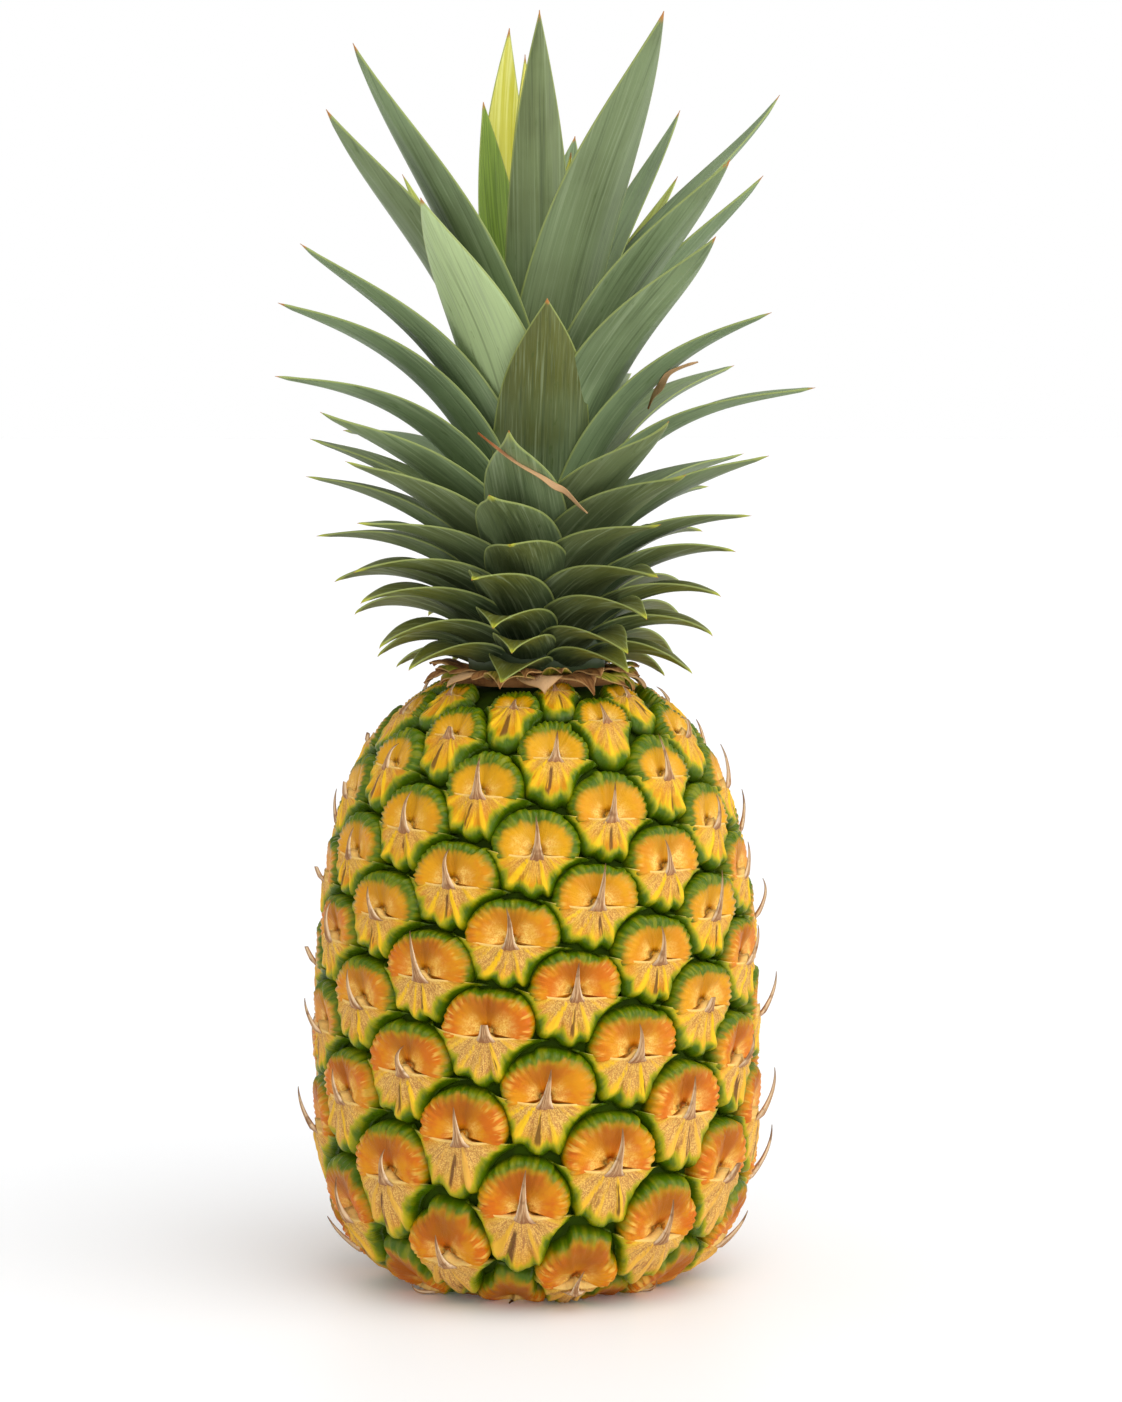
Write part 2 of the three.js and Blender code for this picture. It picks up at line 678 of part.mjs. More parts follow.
const group = new THREE.Group();
group.add(
  meshOf("fruit", fruitBody, { color: 0xd9a02c, roughness: 0.45, metalness: 0 }),
  meshOf("stalk_end", stalkEnd(), { color: 0xb49a6c, roughness: 0.85, metalness: 0 }),
  meshOf("crown", crownLeaves, { color: 0x4f6b45, roughness: 0.5, metalness: 0 }),
  meshOf("heart_leaves", heartLeaves, { color: 0xb9b840, roughness: 0.5, metalness: 0 }),
  meshOf("collar_bracts", collarBracts, { color: 0x8d6437, roughness: 0.8, metalness: 0 }),
);

export default group;
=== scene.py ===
"""A whole fresh pineapple with its crown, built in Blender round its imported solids.

Lengths in this script are millimetres until a mesh is made, and angles are degrees unless a name
says otherwise. Azimuth 0 is the front (-Y) and 90 is the right (+X). The eyes and the leaves
follow the same rules and the same repeatable draws as the solids that they replace.
"""

import math
from dataclasses import dataclass

import bpy
import numpy as np
from bpy.props import FloatProperty, FloatVectorProperty, PointerProperty
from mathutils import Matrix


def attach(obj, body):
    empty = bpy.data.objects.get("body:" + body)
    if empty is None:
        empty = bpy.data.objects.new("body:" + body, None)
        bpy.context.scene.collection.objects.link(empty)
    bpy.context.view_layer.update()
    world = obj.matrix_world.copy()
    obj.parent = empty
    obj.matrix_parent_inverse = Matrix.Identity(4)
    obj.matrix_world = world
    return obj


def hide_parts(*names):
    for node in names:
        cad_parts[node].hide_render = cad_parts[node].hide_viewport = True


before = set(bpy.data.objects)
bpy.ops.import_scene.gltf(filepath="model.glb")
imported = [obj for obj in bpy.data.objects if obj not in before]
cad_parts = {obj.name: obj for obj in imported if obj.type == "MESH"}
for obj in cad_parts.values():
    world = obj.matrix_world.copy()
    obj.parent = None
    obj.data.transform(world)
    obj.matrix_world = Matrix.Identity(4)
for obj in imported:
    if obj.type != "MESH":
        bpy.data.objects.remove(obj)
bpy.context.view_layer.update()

bl_info = {
    "name": "Pineapple",
    "version": (1, 0, 0),
    "blender": (4, 5, 0),
    "location": "View3D > Sidebar > Pineapple",
    "description": "Dresses the solids of a pineapple: its eyes, crown, bracts and stalk end",
    "category": "Object",
}

BODY = "root"
MM = 0.001

# The fruit's outline: two half superellipses with a dimple underneath
WIDEST_RADIUS = 61.0
WIDEST_HEIGHT = 62.0
UPPER_REACH = 110.5
LOWER_REACH = 64.5
UPPER_SQUARENESS = 2.85
LOWER_SQUARENESS = 3.1
DIMPLE_DEPTH = 5.0
DIMPLE_RADIUS = 27.0
BASE_EDGE_RADIUS = 13.5
TOP_EDGE_RADIUS = 21.0
OUTLINE_STEPS = 600

# The spiral rule of the eyes
EYE_STEP = -99.65
RIGHT, LEFT, ACROSS = 7, 11, 18  # numbers between an eye and its neighbours above
EYE_ZERO_AZIMUTH = 3.1
EYE_ZERO_HEIGHT = 60.6
EYE_REFERENCE_AREA = 600.0
EYE_AREAS = [(0, 800), (30, 740), (64, 618), (90, 535), (118, 474), (172, 460)]
EYE_GIRTHS = [(0, 0.27), (8, 0.4), (150, 0.36), (160, 0.26), (172, 0.2)]
ALONG_WOBBLE = 0.7
ROUND_WOBBLE = 0.9
LOWEST_EYE_RADIUS = 21.0
HIGHEST_EYE_RADIUS = 25.0

# One eye in the frame of the skin: x to the right, y up the fruit, w outwards
CELL = np.array(
    [(13.7, -2.2), (10.2, 13.4), (-3.5, 15.6), (-13.7, 2.2), (-10.2, -13.4), (3.5, -15.6)]
)
EYE_HEART = (0.0, 0.2)  # the spine grows here, and the cushion's folds run out from it
CUSHION_MIDDLE = (0.4, 2.9)  # of the cushion's round outline
CUSHION_HALF_WIDTH = 13.5
CUSHION_HALF_HEIGHT = 10.9
CUSHION_SHARE = 1.18  # a cushion bulges this far over the straight sides of its cell
CUSHION_ARC = (-10.0, 190.0)  # the part of the cushion that the bract leaves open
CUSHION_STEPS = 81
CUSHION_HIDDEN_STEPS = 8
CUSHION_HIDDEN_REACH = 4.0
CUSHION_HIDDEN_HEIGHT = -1.5
CUSHION_HEART_HEIGHT = -0.1
CUSHION_UNDERSIDE = -4.5
CUSHION_BLEND = 30  # how sharply a cushion's outline turns where its cell ends
CUSHION_RIBS = 17
RIB_HEIGHT = 0.5
CHEEK_HEIGHT = 0.45
TOP_FOLD_DEPTH = 0.9
HOLLOW_DEPTH = 1.3
HOLLOW_RADIUS = 0.9
HOLLOW_PLACE = (2.4, 1.1)  # beside the spine's foot
CUSHION_UNEVENNESS = 0.22
CUSHION_RINGS = [  # share of the way to the rim, height
    (0.12, 0.1), (0.26, 0.7), (0.40, 1.35), (0.53, 1.95), (0.64, 2.35), (0.74, 2.55),
    (0.83, 2.45), (0.905, 1.95), (0.955, 1.0), (0.985, -0.3), (1.005, -1.8), (1.02, -3.2),
]  # fmt: skip
BRACT_COLUMNS = 57
BRACT_ROWS = [0, 0.04, 0.12, 0.22, 0.34, 0.46, 0.58, 0.69, 0.78, 0.85, 0.90, 0.94, 0.975, 1.0]
BRACT_LIP_Y = -0.9
BRACT_EDGE = 2.2  # width of its rounded border
BRACT_EDGE_DROP = 3.6
LIP_EDGE = 0.55
LIP_THICKNESS = 0.9
LIP_SWEEP = 2.4  # how far the lip's middle runs up the foot of the spine
LIP_SWEEP_HALF_WIDTH = 3.0
BRACT_OUTLINE = [  # from the left wing tip round the three lobes to the right wing tip
    (-17.8, 2.2), (-14.6, -1.0), (-11.9, -5.0), (-10.7, -9.2), (-8.9, -12.8), (-5.9, -12.7),
    (-3.4, -14.9), (-0.4, -15.4), (1.5, -14.0), (3.6, -15.0), (5.6, -12.8), (6.7, -9.4),
    (9.0, -6.2), (12.8, -3.9), (17.8, -1.9),
]  # fmt: skip
RAY_ORIGIN_Y = 2.0  # the folds of a bract fan out from under its spine
RIDGES = [  # direction in radians from straight down, half-width, height
    (-0.52, 0.085, 0.9), (-0.15, 0.07, 0.6), (0.25, 0.085, 0.9), (-0.98, 0.1, 0.55),
    (0.82, 0.1, 0.55),
]  # fmt: skip
FOLDS = [(-0.35, 0.05, 0.9), (0.07, 0.045, 0.9), (-0.75, 0.06, 0.5), (0.52, 0.06, 0.6)]
RIDGE_HEIGHT = 0.75
FOLD_DEPTH = 0.8
PLEATS = 26  # fine pleats of a bract, per radian
PLEAT_HEIGHT = 0.12
BRACT_UNEVENNESS = 0.32
LIP_UNEVENNESS = 0.16
LIP_HEIGHTS = [(0, 2.9), (0.2, 2.6), (0.45, 2.3), (0.7, 1.5), (0.88, 0.5), (1, -1.0)]
SKIRT_HEIGHT = -3.4  # the edges of an eye end here, under the skin of the grooves
GROOVE_HEIGHT = -2.5
SPINE_TIP = (10.2, 6.4)  # y and w
SPINE_FOOT_Y = -2.6
SPINE_CURL = 3.4
BROKEN_SPINE = {"from": 0.72, "length": 0.45}  # draws above this break the spine off
SPINE_WOBBLES = {"length": 0.25, "lean": 0.6, "sideways": 1.6}
SHORT_SPINE = {"share": 0.6, "below": 6.0, "above": 150.0}
SPINE_FOOT_W = 3.0
SPINE_HALF_WIDTHS = [(0, 3.4), (0.1, 2.5), (0.22, 1.65), (0.45, 0.9), (0.75, 0.45), (1, 0.08)]
SPINE_HALF_DEPTHS = [(0, 0.35), (0.15, 0.8), (0.45, 0.5), (0.75, 0.3), (1, 0.08)]
SPINE_STATIONS = 14
SPINE_SIDES = 8

# The stalk end
STALK_RADIUS = 11.5
STALK_PROFILE = [  # radius, height
    (0, 0), (3, 0), (6, 0), (9, 0), (10.9, 0.05), (11.5, 0.6), (11.3, 4), (11.4, 9), (0, 9),
]  # fmt: skip

# The crown
STEM_PROFILE = [(171, 19), (177, 19.5), (196, 17), (216, 12.5), (230, 8), (236, 4.5)]
CORE_MARKS = {"olive": 0, "along": 0.1, "lane": 0, "draw": 0.5}  # of the stem and the bud
RANK_LEAVES = 54
RANK_STEP = 135.1
RANK_ZERO_AZIMUTH = -15.0
AZIMUTH_WOBBLE = 6.0
REACH_WOBBLE = 3.0
DROOP_WOBBLE = 8.0
RANK_WIDTH_WOBBLE = 0.08
ROOT_HANDLE = 0.5
TIP_HANDLE = 0.28
FRONT_LIFT = 5.5  # the ranked leaves at the front droop this much less
FRONT_STRAIGHTEN = 26.0
RANK_TIP_HANDLE = 0.15  # the ranked leaves hook at the tip
LEAF_ROOT_SINK = 4.0
LEAF_MARGIN = 0.28  # thickness
LEAF_TWIST = math.radians(9)
LEAF_SHAPE = [(0, 0.85), (0.2, 1), (0.4, 0.95), (0.6, 0.77), (0.78, 0.49), (0.9, 0.24), (1, 0)]
RANK_LEAF_SHAPE = [(0, 0.9), (0.2, 1), (0.4, 0.86), (0.6, 0.54), (0.8, 0.2), (1, 0)]
# share of the ranks, tip radius, tip height, base height, angle at the base and the tip, width
RANKS = [
    (0, 41, 168.5, 172, 38, -60, 17),
    (0.15, 48, 176, 175.5, 40, -56, 19),
    (0.3, 54, 184.5, 180, 43, -50, 21),
    (0.45, 57.5, 195, 185, 46, -38, 22),
    (0.6, 60, 208, 191, 48, -18, 23),
    (0.75, 63, 221.5, 197.5, 47, 4, 24),
    (0.9, 66, 235, 203, 46, 20, 24),
    (1, 69, 244, 208, 47, 26, 23),
]
# azimuth, tip radius, tip height, angle at the tip and width, then, where not 0, how yellow and
# how olive it is; a negative olive is painted light, a paler leaf where it faces the light
LONG_LEAVES = [
    (-62, 80.5, 256, 8, 22),
    (72, 81, 253, 10, 21),
    (125, 71, 260, 18, 20),
    (-125, 70, 241, 5, 21),
    (158, 72, 258, 10, 21),
    (-66.5, 77.5, 276, 18, 22),
    (65, 71, 273.5, 20, 20),
    (5.5, 40, 277, 66, 27, 0, 0.9),
    (-166, 68, 282, 25, 22),
    (-60, 73, 292, 36, 23),
    (43.5, 72, 293, 44, 24, 0, 0.1),
    # Painted light: this leaf is painted paler because it faces the light
    (-28, 66, 303, 54, 26, 0, -0.75),
    (70, 67, 311, 48, 20),
    (-150, 55, 300, 45, 22),
    (49.5, 69, 314, 50, 25),
    (-61, 65, 328.5, 58, 25),
    (115, 78, 338, 54, 21),
    (170, 60, 328, 55, 22),
    (132, 57.5, 334, 60, 18),
    (135, 58, 315, 54, 16, 0.45),
    (-55, 60.5, 346, 64, 26),
    (40, 53, 354, 68, 29),
    (-112, 41.5, 314, 62, 17, 0.45),
    (12, 6, 358, 85, 20, 0, 0.3),
]
LONG_BASE = [(240, 207), (300, 219), (360, 229)]
LONG_RISE = [(240, 58), (280, 72), (320, 78), (360, 86)]
# azimuth, tip radius, tip height, angle at the base and the tip, width, how yellow
HEART_LEAVES = [
    (-150, 15.5, 355, 67, 103, 20, 0.85),
    (-156, 8, 347, 80, 93, 13, 1.0),
    (-125, 18.5, 334, 71, 86, 26, 0.1),
    (145, 17, 320, 84, 82, 13, 0.8),
    (-160, 20, 303, 84, 80, 12, 0.4),
]
HEART_BOTTOM = 237.0
BUD_PROFILE = [(0, 237), (4, 237), (3.9, 243), (2.8, 251), (0, 252)]

# The dry bracts round the crown's foot
COLLAR_BOTTOM = 170.0
COLLAR_HEIGHT = 3.0
COLLAR_INNER_RADIUS = 20.0
COLLAR_RING = [(20, 170), (23.4, 170), (23.2, 172.6), (22, 173), (20, 173), (20, 170)]
COLLAR_BLADES = 17
COLLAR_REACH = 34.0
COLLAR_BLADE_WIDTH = 10.0
# of the first row and the second: tip height, share of the ring's height at the base, angles
COLLAR_ROWS = [(169.5, 0.75, 28, -58), (173.5, 0.9, 34, -35)]
STRIP_STATIONS = 44
STRIP_SIDES = 10
STRIP_ROLL = 1.1  # in radians
STRIP_THICKNESS = 0.22
STRIP_HOLLOW = 0.35
# Strips of dead leaf that hang in the crown: half width, then points along each
STRIPS = [
    (
        0.95,
        [
            (-15.2, -61, 240.8), (-8.0, -58.2, 234.9), (-3.5, -53, 231.6), (1.3, -46, 228.7),
            (4.7, -40, 226.4), (8.3, -35, 224.6), (12.4, -34.5, 220.4), (14.2, -35, 218.7),
        ],
    ),
    (
        1.1,
        [
            (31.4, -6, 247.3), (32.6, -8, 250.2), (34.5, -10.5, 253.2), (36.4, -17.4, 257),
            (41, -18.5, 259.2), (44.9, -18.5, 260.2),
        ],
    ),
]  # fmt: skip

# The white surround dims from the horizon to straight above
GLOW = {"from": 0.3, "to": 0.75, "low": 1.0, "high": 0.6}


def wobble(number, salt):
    """A repeatable number from -1 to 1 for piece number; salt gives other draws for it."""
    value = math.sin(number * 12.9898 + salt * 78.233) * 43758.5453
    return 2 * (value - math.floor(value)) - 1


def look_up(rows, x, column=1):
    """The value at x of rows (x, value, value...), straight between them."""
    return np.interp(x, *np.array(rows, float)[:, [0, column]].T)


def curve_through(rows, x):
    """Like look_up, but along a smooth curve through the rows, each a place and its values."""
    rows = np.array(rows, float)
    places, values = rows[:, 0], rows[:, 1:]
    slopes = np.gradient(values, places, axis=0)
    i = np.clip(np.searchsorted(places, x) - 1, 0, len(rows) - 2)
    step = (places[i + 1] - places[i])[..., None]
    t = ((x - places[i]) / step[..., 0])[..., None]
    start, end = values[i], values[i + 1]
    blend = t * t * (3 - 2 * t)
    pull = t * (1 - t) * step * ((1 - t) * slopes[i] - t * slopes[i + 1])
    return start + blend * (end - start) + pull


def smooth_step(low, high, x):
    t = np.clip((x - low) / (high - low), 0, 1)
    return t * t * (3 - 2 * t)


def hump(x, middle, width):
    """A smooth rise from 0 to 1 and back, centred on middle."""
    return np.exp(-(((x - middle) / width) ** 2))


def rgb(red, green, blue):
    """A colour given as on a screen, 0 to 255, in the linear values that shaders take."""
    screen = [value / 255 for value in (red, green, blue)]
    return tuple(v / 12.92 if v <= 0.04045 else ((v + 0.055) / 1.055) ** 2.4 for v in screen)


# The skin


def skin_outline():
    """Radius, height and distance along the outline, from the middle underneath to the top."""
    angle = (np.arange(OUTLINE_STEPS + 1) / OUTLINE_STEPS - 0.5) * math.pi
    up = angle > 0
    power = np.where(up, 2 / UPPER_SQUARENESS, 2 / LOWER_SQUARENESS)
    radius = WIDEST_RADIUS * np.maximum(0, np.cos(angle)) ** power
    rise = np.abs(np.sin(angle)) ** power
    hollow = DIMPLE_DEPTH * np.maximum(0, 1 - (radius / DIMPLE_RADIUS) ** 2) ** 2
    reach = np.where(up, UPPER_REACH, -LOWER_REACH)
    height = WIDEST_HEIGHT + reach * rise + np.where(up, 0, hollow)
    steps = np.hypot(np.diff(radius), np.diff(height))
    return radius, height, np.concatenate([[0], np.cumsum(steps)])


RADIUS, HEIGHT, ALONG = skin_outline()
LEAN_OUT = np.gradient(RADIUS, ALONG)
LEAN_UP = np.gradient(HEIGHT, ALONG)
LOW_EDGE = ALONG[np.argmax(RADIUS >= BASE_EDGE_RADIUS)]
HIGH_EDGE = ALONG[np.nonzero(RADIUS >= TOP_EDGE_RADIUS)[0][-1]]


def radial(azimuth):
    """The direction at an azimuth in radians, one row for each."""
    azimuth = np.asarray(azimuth, float)
    return np.stack([np.sin(azimuth), -np.cos(azimuth), np.zeros_like(azimuth)], -1)


def skin_points(along, azimuth, w):
    """Points that lie w outwards from the skin, none of them under the standing plane."""
    columns = RADIUS, HEIGHT, LEAN_OUT, LEAN_UP
    radius, height, out, up = (np.interp(along, ALONG, column) for column in columns)
    length = np.hypot(out, up)
    ring = np.maximum(0.5, radius + w * up / length)
    points = radial(azimuth) * ring[..., None]
    points[..., 2] = np.maximum(0.05, height - w * out / length)
    return points


@dataclass
class Eye:
    """An eye's place on the skin and, once its neighbours are known, its cell."""

    number: int
    along: float
    azimuth: float
    scale: float
    girth: float  # radius of the circle on which its sideways lengths are measured
    height: float
    grown: bool
    cell: np.ndarray = None

    def offset_to(self, azimuth, along):
        turn = azimuth - self.azimuth
        return math.atan2(math.sin(turn), math.cos(turn)) * self.girth, along - self.along

    def ripeness(self):
        """1 for the ripest eyes, low on the fruit, and less towards the crown."""
        return float(np.clip(1.02 - 0.0052 * self.height + 0.16 * wobble(self.number, 31), 0, 1))


def outline_at(along):
    return np.interp(along, ALONG, RADIUS), np.interp(along, ALONG, HEIGHT)


def eye_area(height, radius):
    widest = look_up(EYE_GIRTHS, height) * max(radius, LOWEST_EYE_RADIUS) ** 2
    return min(look_up(EYE_AREAS, height), widest)


def grown_eyes():
    """Every eye of the fruit with the corners of its cell, from the bottom to the top."""
    places = {}
    start = ALONG[np.nonzero((HEIGHT >= EYE_ZERO_HEIGHT) & (RADIUS > WIDEST_RADIUS / 2))[0][0]]
    for way, edge in ((1, HIGHEST_EYE_RADIUS), (-1, LOWEST_EYE_RADIUS)):
        along, past, step = start, 0, 0
        while past <= ACROSS:
            if step > 0:
                radius, height = outline_at(along)
                along += way * eye_area(height, radius) / (2 * math.pi * max(edge, radius))
            radius, height = outline_at(along)
            ended = past > 0 or radius < edge
            past += ended
            number = way * step
            shift = 0 if ended else ALONG_WOBBLE * wobble(number, 1)
            turn = 0 if ended else ROUND_WOBBLE * wobble(number, 2)
            azimuth = math.radians(EYE_ZERO_AZIMUTH + EYE_STEP * number + turn)
            scale = math.sqrt(eye_area(height, radius) / EYE_REFERENCE_AREA)
            girth = max(radius, LOWEST_EYE_RADIUS)
            places[number] = Eye(number, along + shift, azimuth, scale, girth, height, not ended)
            step += 1
    eyes = sorted((eye for eye in places.values() if eye.grown), key=lambda eye: eye.number)
    for eye in eyes:
        n = eye.number
        trios = [
            (n - LEFT, n, n + RIGHT),
            (n, n + RIGHT, n + ACROSS),
            (n, n + LEFT, n + ACROSS),
            (n - RIGHT, n, n + LEFT),
            (n - ACROSS, n - RIGHT, n),
            (n - ACROSS, n - LEFT, n),
        ]
        eye.cell = np.array([eye.offset_to(*cell_corner(places, trio)) for trio in trios])
    return eyes


def cell_corner(places, trio):
    """Azimuth and distance along the skin where the cells of three neighbours meet."""
    first, second, third = (places[number] for number in trio)
    xs, ys = zip(*(first.offset_to(other.azimuth, other.along) for other in (second, third)))
    along = np.clip(first.along + sum(ys) / 3, LOW_EDGE, HIGH_EDGE)
    return first.azimuth + sum(xs) / 3 / first.girth, along


def cell_reach(cell, angles):
    """How far a six-sided cell reaches from its middle in each direction."""
    dx, dy = np.cos(angles), np.sin(angles)
    reach = np.full(np.shape(angles), np.inf)
    for (ax, ay), (bx, by) in zip(cell, np.roll(cell, -1, axis=0)):
        facing = dx * (by - ay) - dy * (bx - ax)
        met = facing > 1e-9
        distance = (ax * (by - ay) - ay * (bx - ax)) / np.where(met, facing, 1)
        reach = np.where(met & (distance > 0), np.minimum(reach, distance), reach)
    return reach


class EyeForm:
    """Points of one part of an eye, as drawn in CELL, which any eye's own cell then stretches."""

    def __init__(self, x, y, w, quads, triangles, marks):
        self.x, self.y, self.w = (np.asarray(values, float).ravel() for values in (x, y, w))
        self.quads, self.triangles, self.marks = quads, triangles, marks
        self.angle = np.arctan2(self.y, self.x)
        self.share = np.hypot(self.x, self.y) / cell_reach(CELL, self.angle)

    def on(self, eye, w):
        far = self.share * cell_reach(eye.cell, self.angle)
        azimuth = eye.azimuth + far * np.cos(self.angle) / eye.girth
        return skin_points(eye.along + far * np.sin(self.angle), azimuth, w * eye.scale)


def ripple(form, eye, size, salt):
    """A smooth unevenness of about 1, different on each eye."""
    total = np.zeros_like(form.x)
    for k in range(3):
        turn = math.pi * wobble(eye.number, salt + 3 * k)
        shift = math.pi * wobble(eye.number, salt + 3 * k + 1)
        waves = (1 + 0.6 * k) * 2 * math.pi / size
        across = form.x * math.cos(turn) + form.y * math.sin(turn)
        total += np.sin(waves * across + shift) / (1 + k)
    return total / 1.8


# Meshes


def add_piece(name, node, material, parts):
    """Makes one smooth mesh of closed parts, places it and hides the solid that it stands for."""
    points, quads, triangles, marks = joined(parts)
    mesh = bpy.data.meshes.new(name)
    corners = np.concatenate([quads.ravel(), triangles.ravel()]).astype(np.int32)
    sizes = np.repeat([4, 3], [len(quads), len(triangles)]).astype(np.int32)
    mesh.vertices.add(len(points))
    mesh.vertices.foreach_set("co", (points * MM).astype(np.float32).ravel())
    mesh.loops.add(len(corners))
    mesh.loops.foreach_set("vertex_index", corners)
    mesh.polygons.add(len(sizes))
    mesh.polygons.foreach_set("loop_start", (np.cumsum(sizes) - sizes).astype(np.int32))
    mesh.update(calc_edges=True)
    mesh.validate()
    mesh.shade_smooth()
    for mark, values in marks.items():
        attribute = mesh.attributes.new(mark, "FLOAT", "POINT")
        attribute.data.foreach_set("value", values.astype(np.float32))
    mesh.materials.append(material)
    piece = bpy.data.objects.new(name, mesh)
    bpy.context.scene.collection.objects.link(piece)
    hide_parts(node)
    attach(piece, BODY)


def joined(parts):
    """One set of points, quads, triangles and marks from several."""
    points, quads, triangles, marks = [], [], [], {}
    count = 0
    for part_points, part_quads, part_triangles, part_marks in parts:
        points.append(part_points)
        quads.append(np.asarray(part_quads).reshape(-1, 4) + count)
        triangles.append(np.asarray(part_triangles).reshape(-1, 3) + count)
        for mark, values in part_marks.items():
            marks.setdefault(mark, []).append(np.broadcast_to(values, len(part_points)))
        count += len(part_points)
    marks = {mark: np.concatenate(values) for mark, values in marks.items()}
    return np.concatenate(points), np.concatenate(quads), np.concatenate(triangles), marks


def tube_faces(rings, sides):
    """Quads between rings of points that follow each other, and fans that close both ends."""
    ring, side = np.meshgrid(np.arange(rings - 1), np.arange(sides), indexing="ij")
    a = ring * sides + side
    b = ring * sides + (side + 1) % sides
    quads = np.stack([a, b, b + sides, a + sides], -1).reshape(-1, 4)
    fan = np.arange(1, sides - 1)
    low = np.stack([np.zeros_like(fan), fan + 1, fan], -1)
    high = np.stack([np.zeros_like(fan), fan, fan + 1], -1) + (rings - 1) * sides
    return quads, np.concatenate([low, high])


def cushion_form():
    """The round cushion of an eye: rings of points round the heart, ribbed at the rim."""
    heart = np.array(EYE_HEART)
    open_arc = np.linspace(*CUSHION_ARC, CUSHION_STEPS)
    hidden = np.linspace(CUSHION_ARC[1], CUSHION_ARC[0] + 360, CUSHION_HIDDEN_STEPS + 2)[1:-1]
    angle = np.radians(np.concatenate([open_arc, hidden]))
    is_hidden = np.arange(len(angle)) >= CUSHION_STEPS
    ray = np.stack([np.cos(angle), np.sin(angle)], -1)
    scaled_ray = ray / (CUSHION_HALF_WIDTH, CUSHION_HALF_HEIGHT)
    scaled_from = (heart - CUSHION_MIDDLE) / (CUSHION_HALF_WIDTH, CUSHION_HALF_HEIGHT)
    a = (scaled_ray**2).sum(-1)
    b = (scaled_ray * scaled_from).sum(-1)
    c = (scaled_from**2).sum() - 1
    reach = (-b + np.sqrt(b * b - a * c)) / a
    reach = np.where(is_hidden, CUSHION_HIDDEN_REACH, reach)
    rim = heart + ray * reach[:, None]
    rim_angle = np.arctan2(rim[:, 1], rim[:, 0])
    share = np.hypot(rim[:, 0], rim[:, 1]) / cell_reach(CELL, rim_angle)
    sides = np.exp(-CUSHION_BLEND * share) + np.exp(-CUSHION_BLEND * CUSHION_SHARE)
    limited = -np.log(sides) / CUSHION_BLEND
    rim *= np.where(is_hidden, 1, limited / share)[:, None]
    shares, heights = np.array(CUSHION_RINGS).T
    points = heart + shares[:, None, None] * (rim - heart)
    sides = len(angle)
    w = np.broadcast_to(heights[:, None], (len(shares), sides))
    w = np.where(is_hidden, np.minimum(w, CUSHION_HIDDEN_HEIGHT), w)
    quads, _ = tube_faces(len(shares), sides)
    count = len(shares) * sides
    around = np.arange(sides)
    middle = np.stack([np.full(sides, count), around, (around + 1) % sides], -1)
    under = np.stack([np.full(sides, count + 1), (around + 1) % sides, around], -1)
    under[:, 1:] += (len(shares) - 1) * sides
    x = np.append(points[..., 0].ravel(), [heart[0], heart[0]])
    y = np.append(points[..., 1].ravel(), [heart[1], heart[1]])
    w = np.append(w.ravel(), [CUSHION_HEART_HEIGHT, CUSHION_UNDERSIDE])
    marks = {
        "rim": np.append(np.repeat(shares, sides), [0, 1]),
        "turn": np.append(np.tile(np.degrees(angle) / 180, len(shares)), [0.5, 0.5]),
    }
    return EyeForm(x, y, w, quads, np.concatenate([middle, under]), marks)


def cushion_on(form, eye, relief):
    """A cushion's own points: fat cheeks, a fold at the top, ribs at the rim and two hollows."""
    rim, turn = form.marks["rim"], form.marks["turn"]
    ribs = CUSHION_RIBS * (1 + 0.12 * wobble(eye.number, 41))
    wave = np.cos(2 * math.pi * (ribs * turn + 0.35 * ripple(form, eye, 9, 50)))
    edge = smooth_step(0.6, 0.88, rim) * (1 - smooth_step(0.96, 1.0, rim))
    open_side = 1 - smooth_step(1.05, 1.1, np.abs(turn - 0.5) * 2)
    w = form.w.copy()
    w += relief * RIB_HEIGHT * (wave - 0.3) * edge * open_side
    cheeks = hump(turn, 0.2, 0.16) + hump(turn, 0.8, 0.16)
    w += relief * CHEEK_HEIGHT * cheeks * hump(rim, 0.62, 0.25)
    fold = hump(turn, 0.5 + 0.04 * wobble(eye.number, 42), 0.07)
    fold_depth = TOP_FOLD_DEPTH + 0.4 * wobble(eye.number, 43)
    w -= relief * fold_depth * fold * hump(rim, 0.6, 0.3)
    side = 1 if wobble(eye.number, 44) > 0 else -1
    aside, up = HOLLOW_PLACE
    hollow = hump(form.x, aside * side, HOLLOW_RADIUS) * hump(form.y, up, HOLLOW_RADIUS)
    hollow *= smooth_step(-0.5, 0.3, wobble(eye.number, 48))
    w -= relief * HOLLOW_DEPTH * hollow
    uneven = CUSHION_UNEVENNESS * ripple(form, eye, 11, 60)
    w += relief * uneven * smooth_step(0.1, 0.5, rim) * (rim < 0.99)
    marks = eye_marks(form, eye)
    marks["hollow"] = hollow
    return form.on(eye, w), form.quads, form.triangles, marks


def eye_marks(form, eye):
    """What an eye's materials read: its own draw, its ripeness and the marks of its form."""
    draw = 0.5 + 0.5 * wobble(eye.number, 32)
    return {**form.marks, "draw": draw, "ripe": eye.ripeness()}


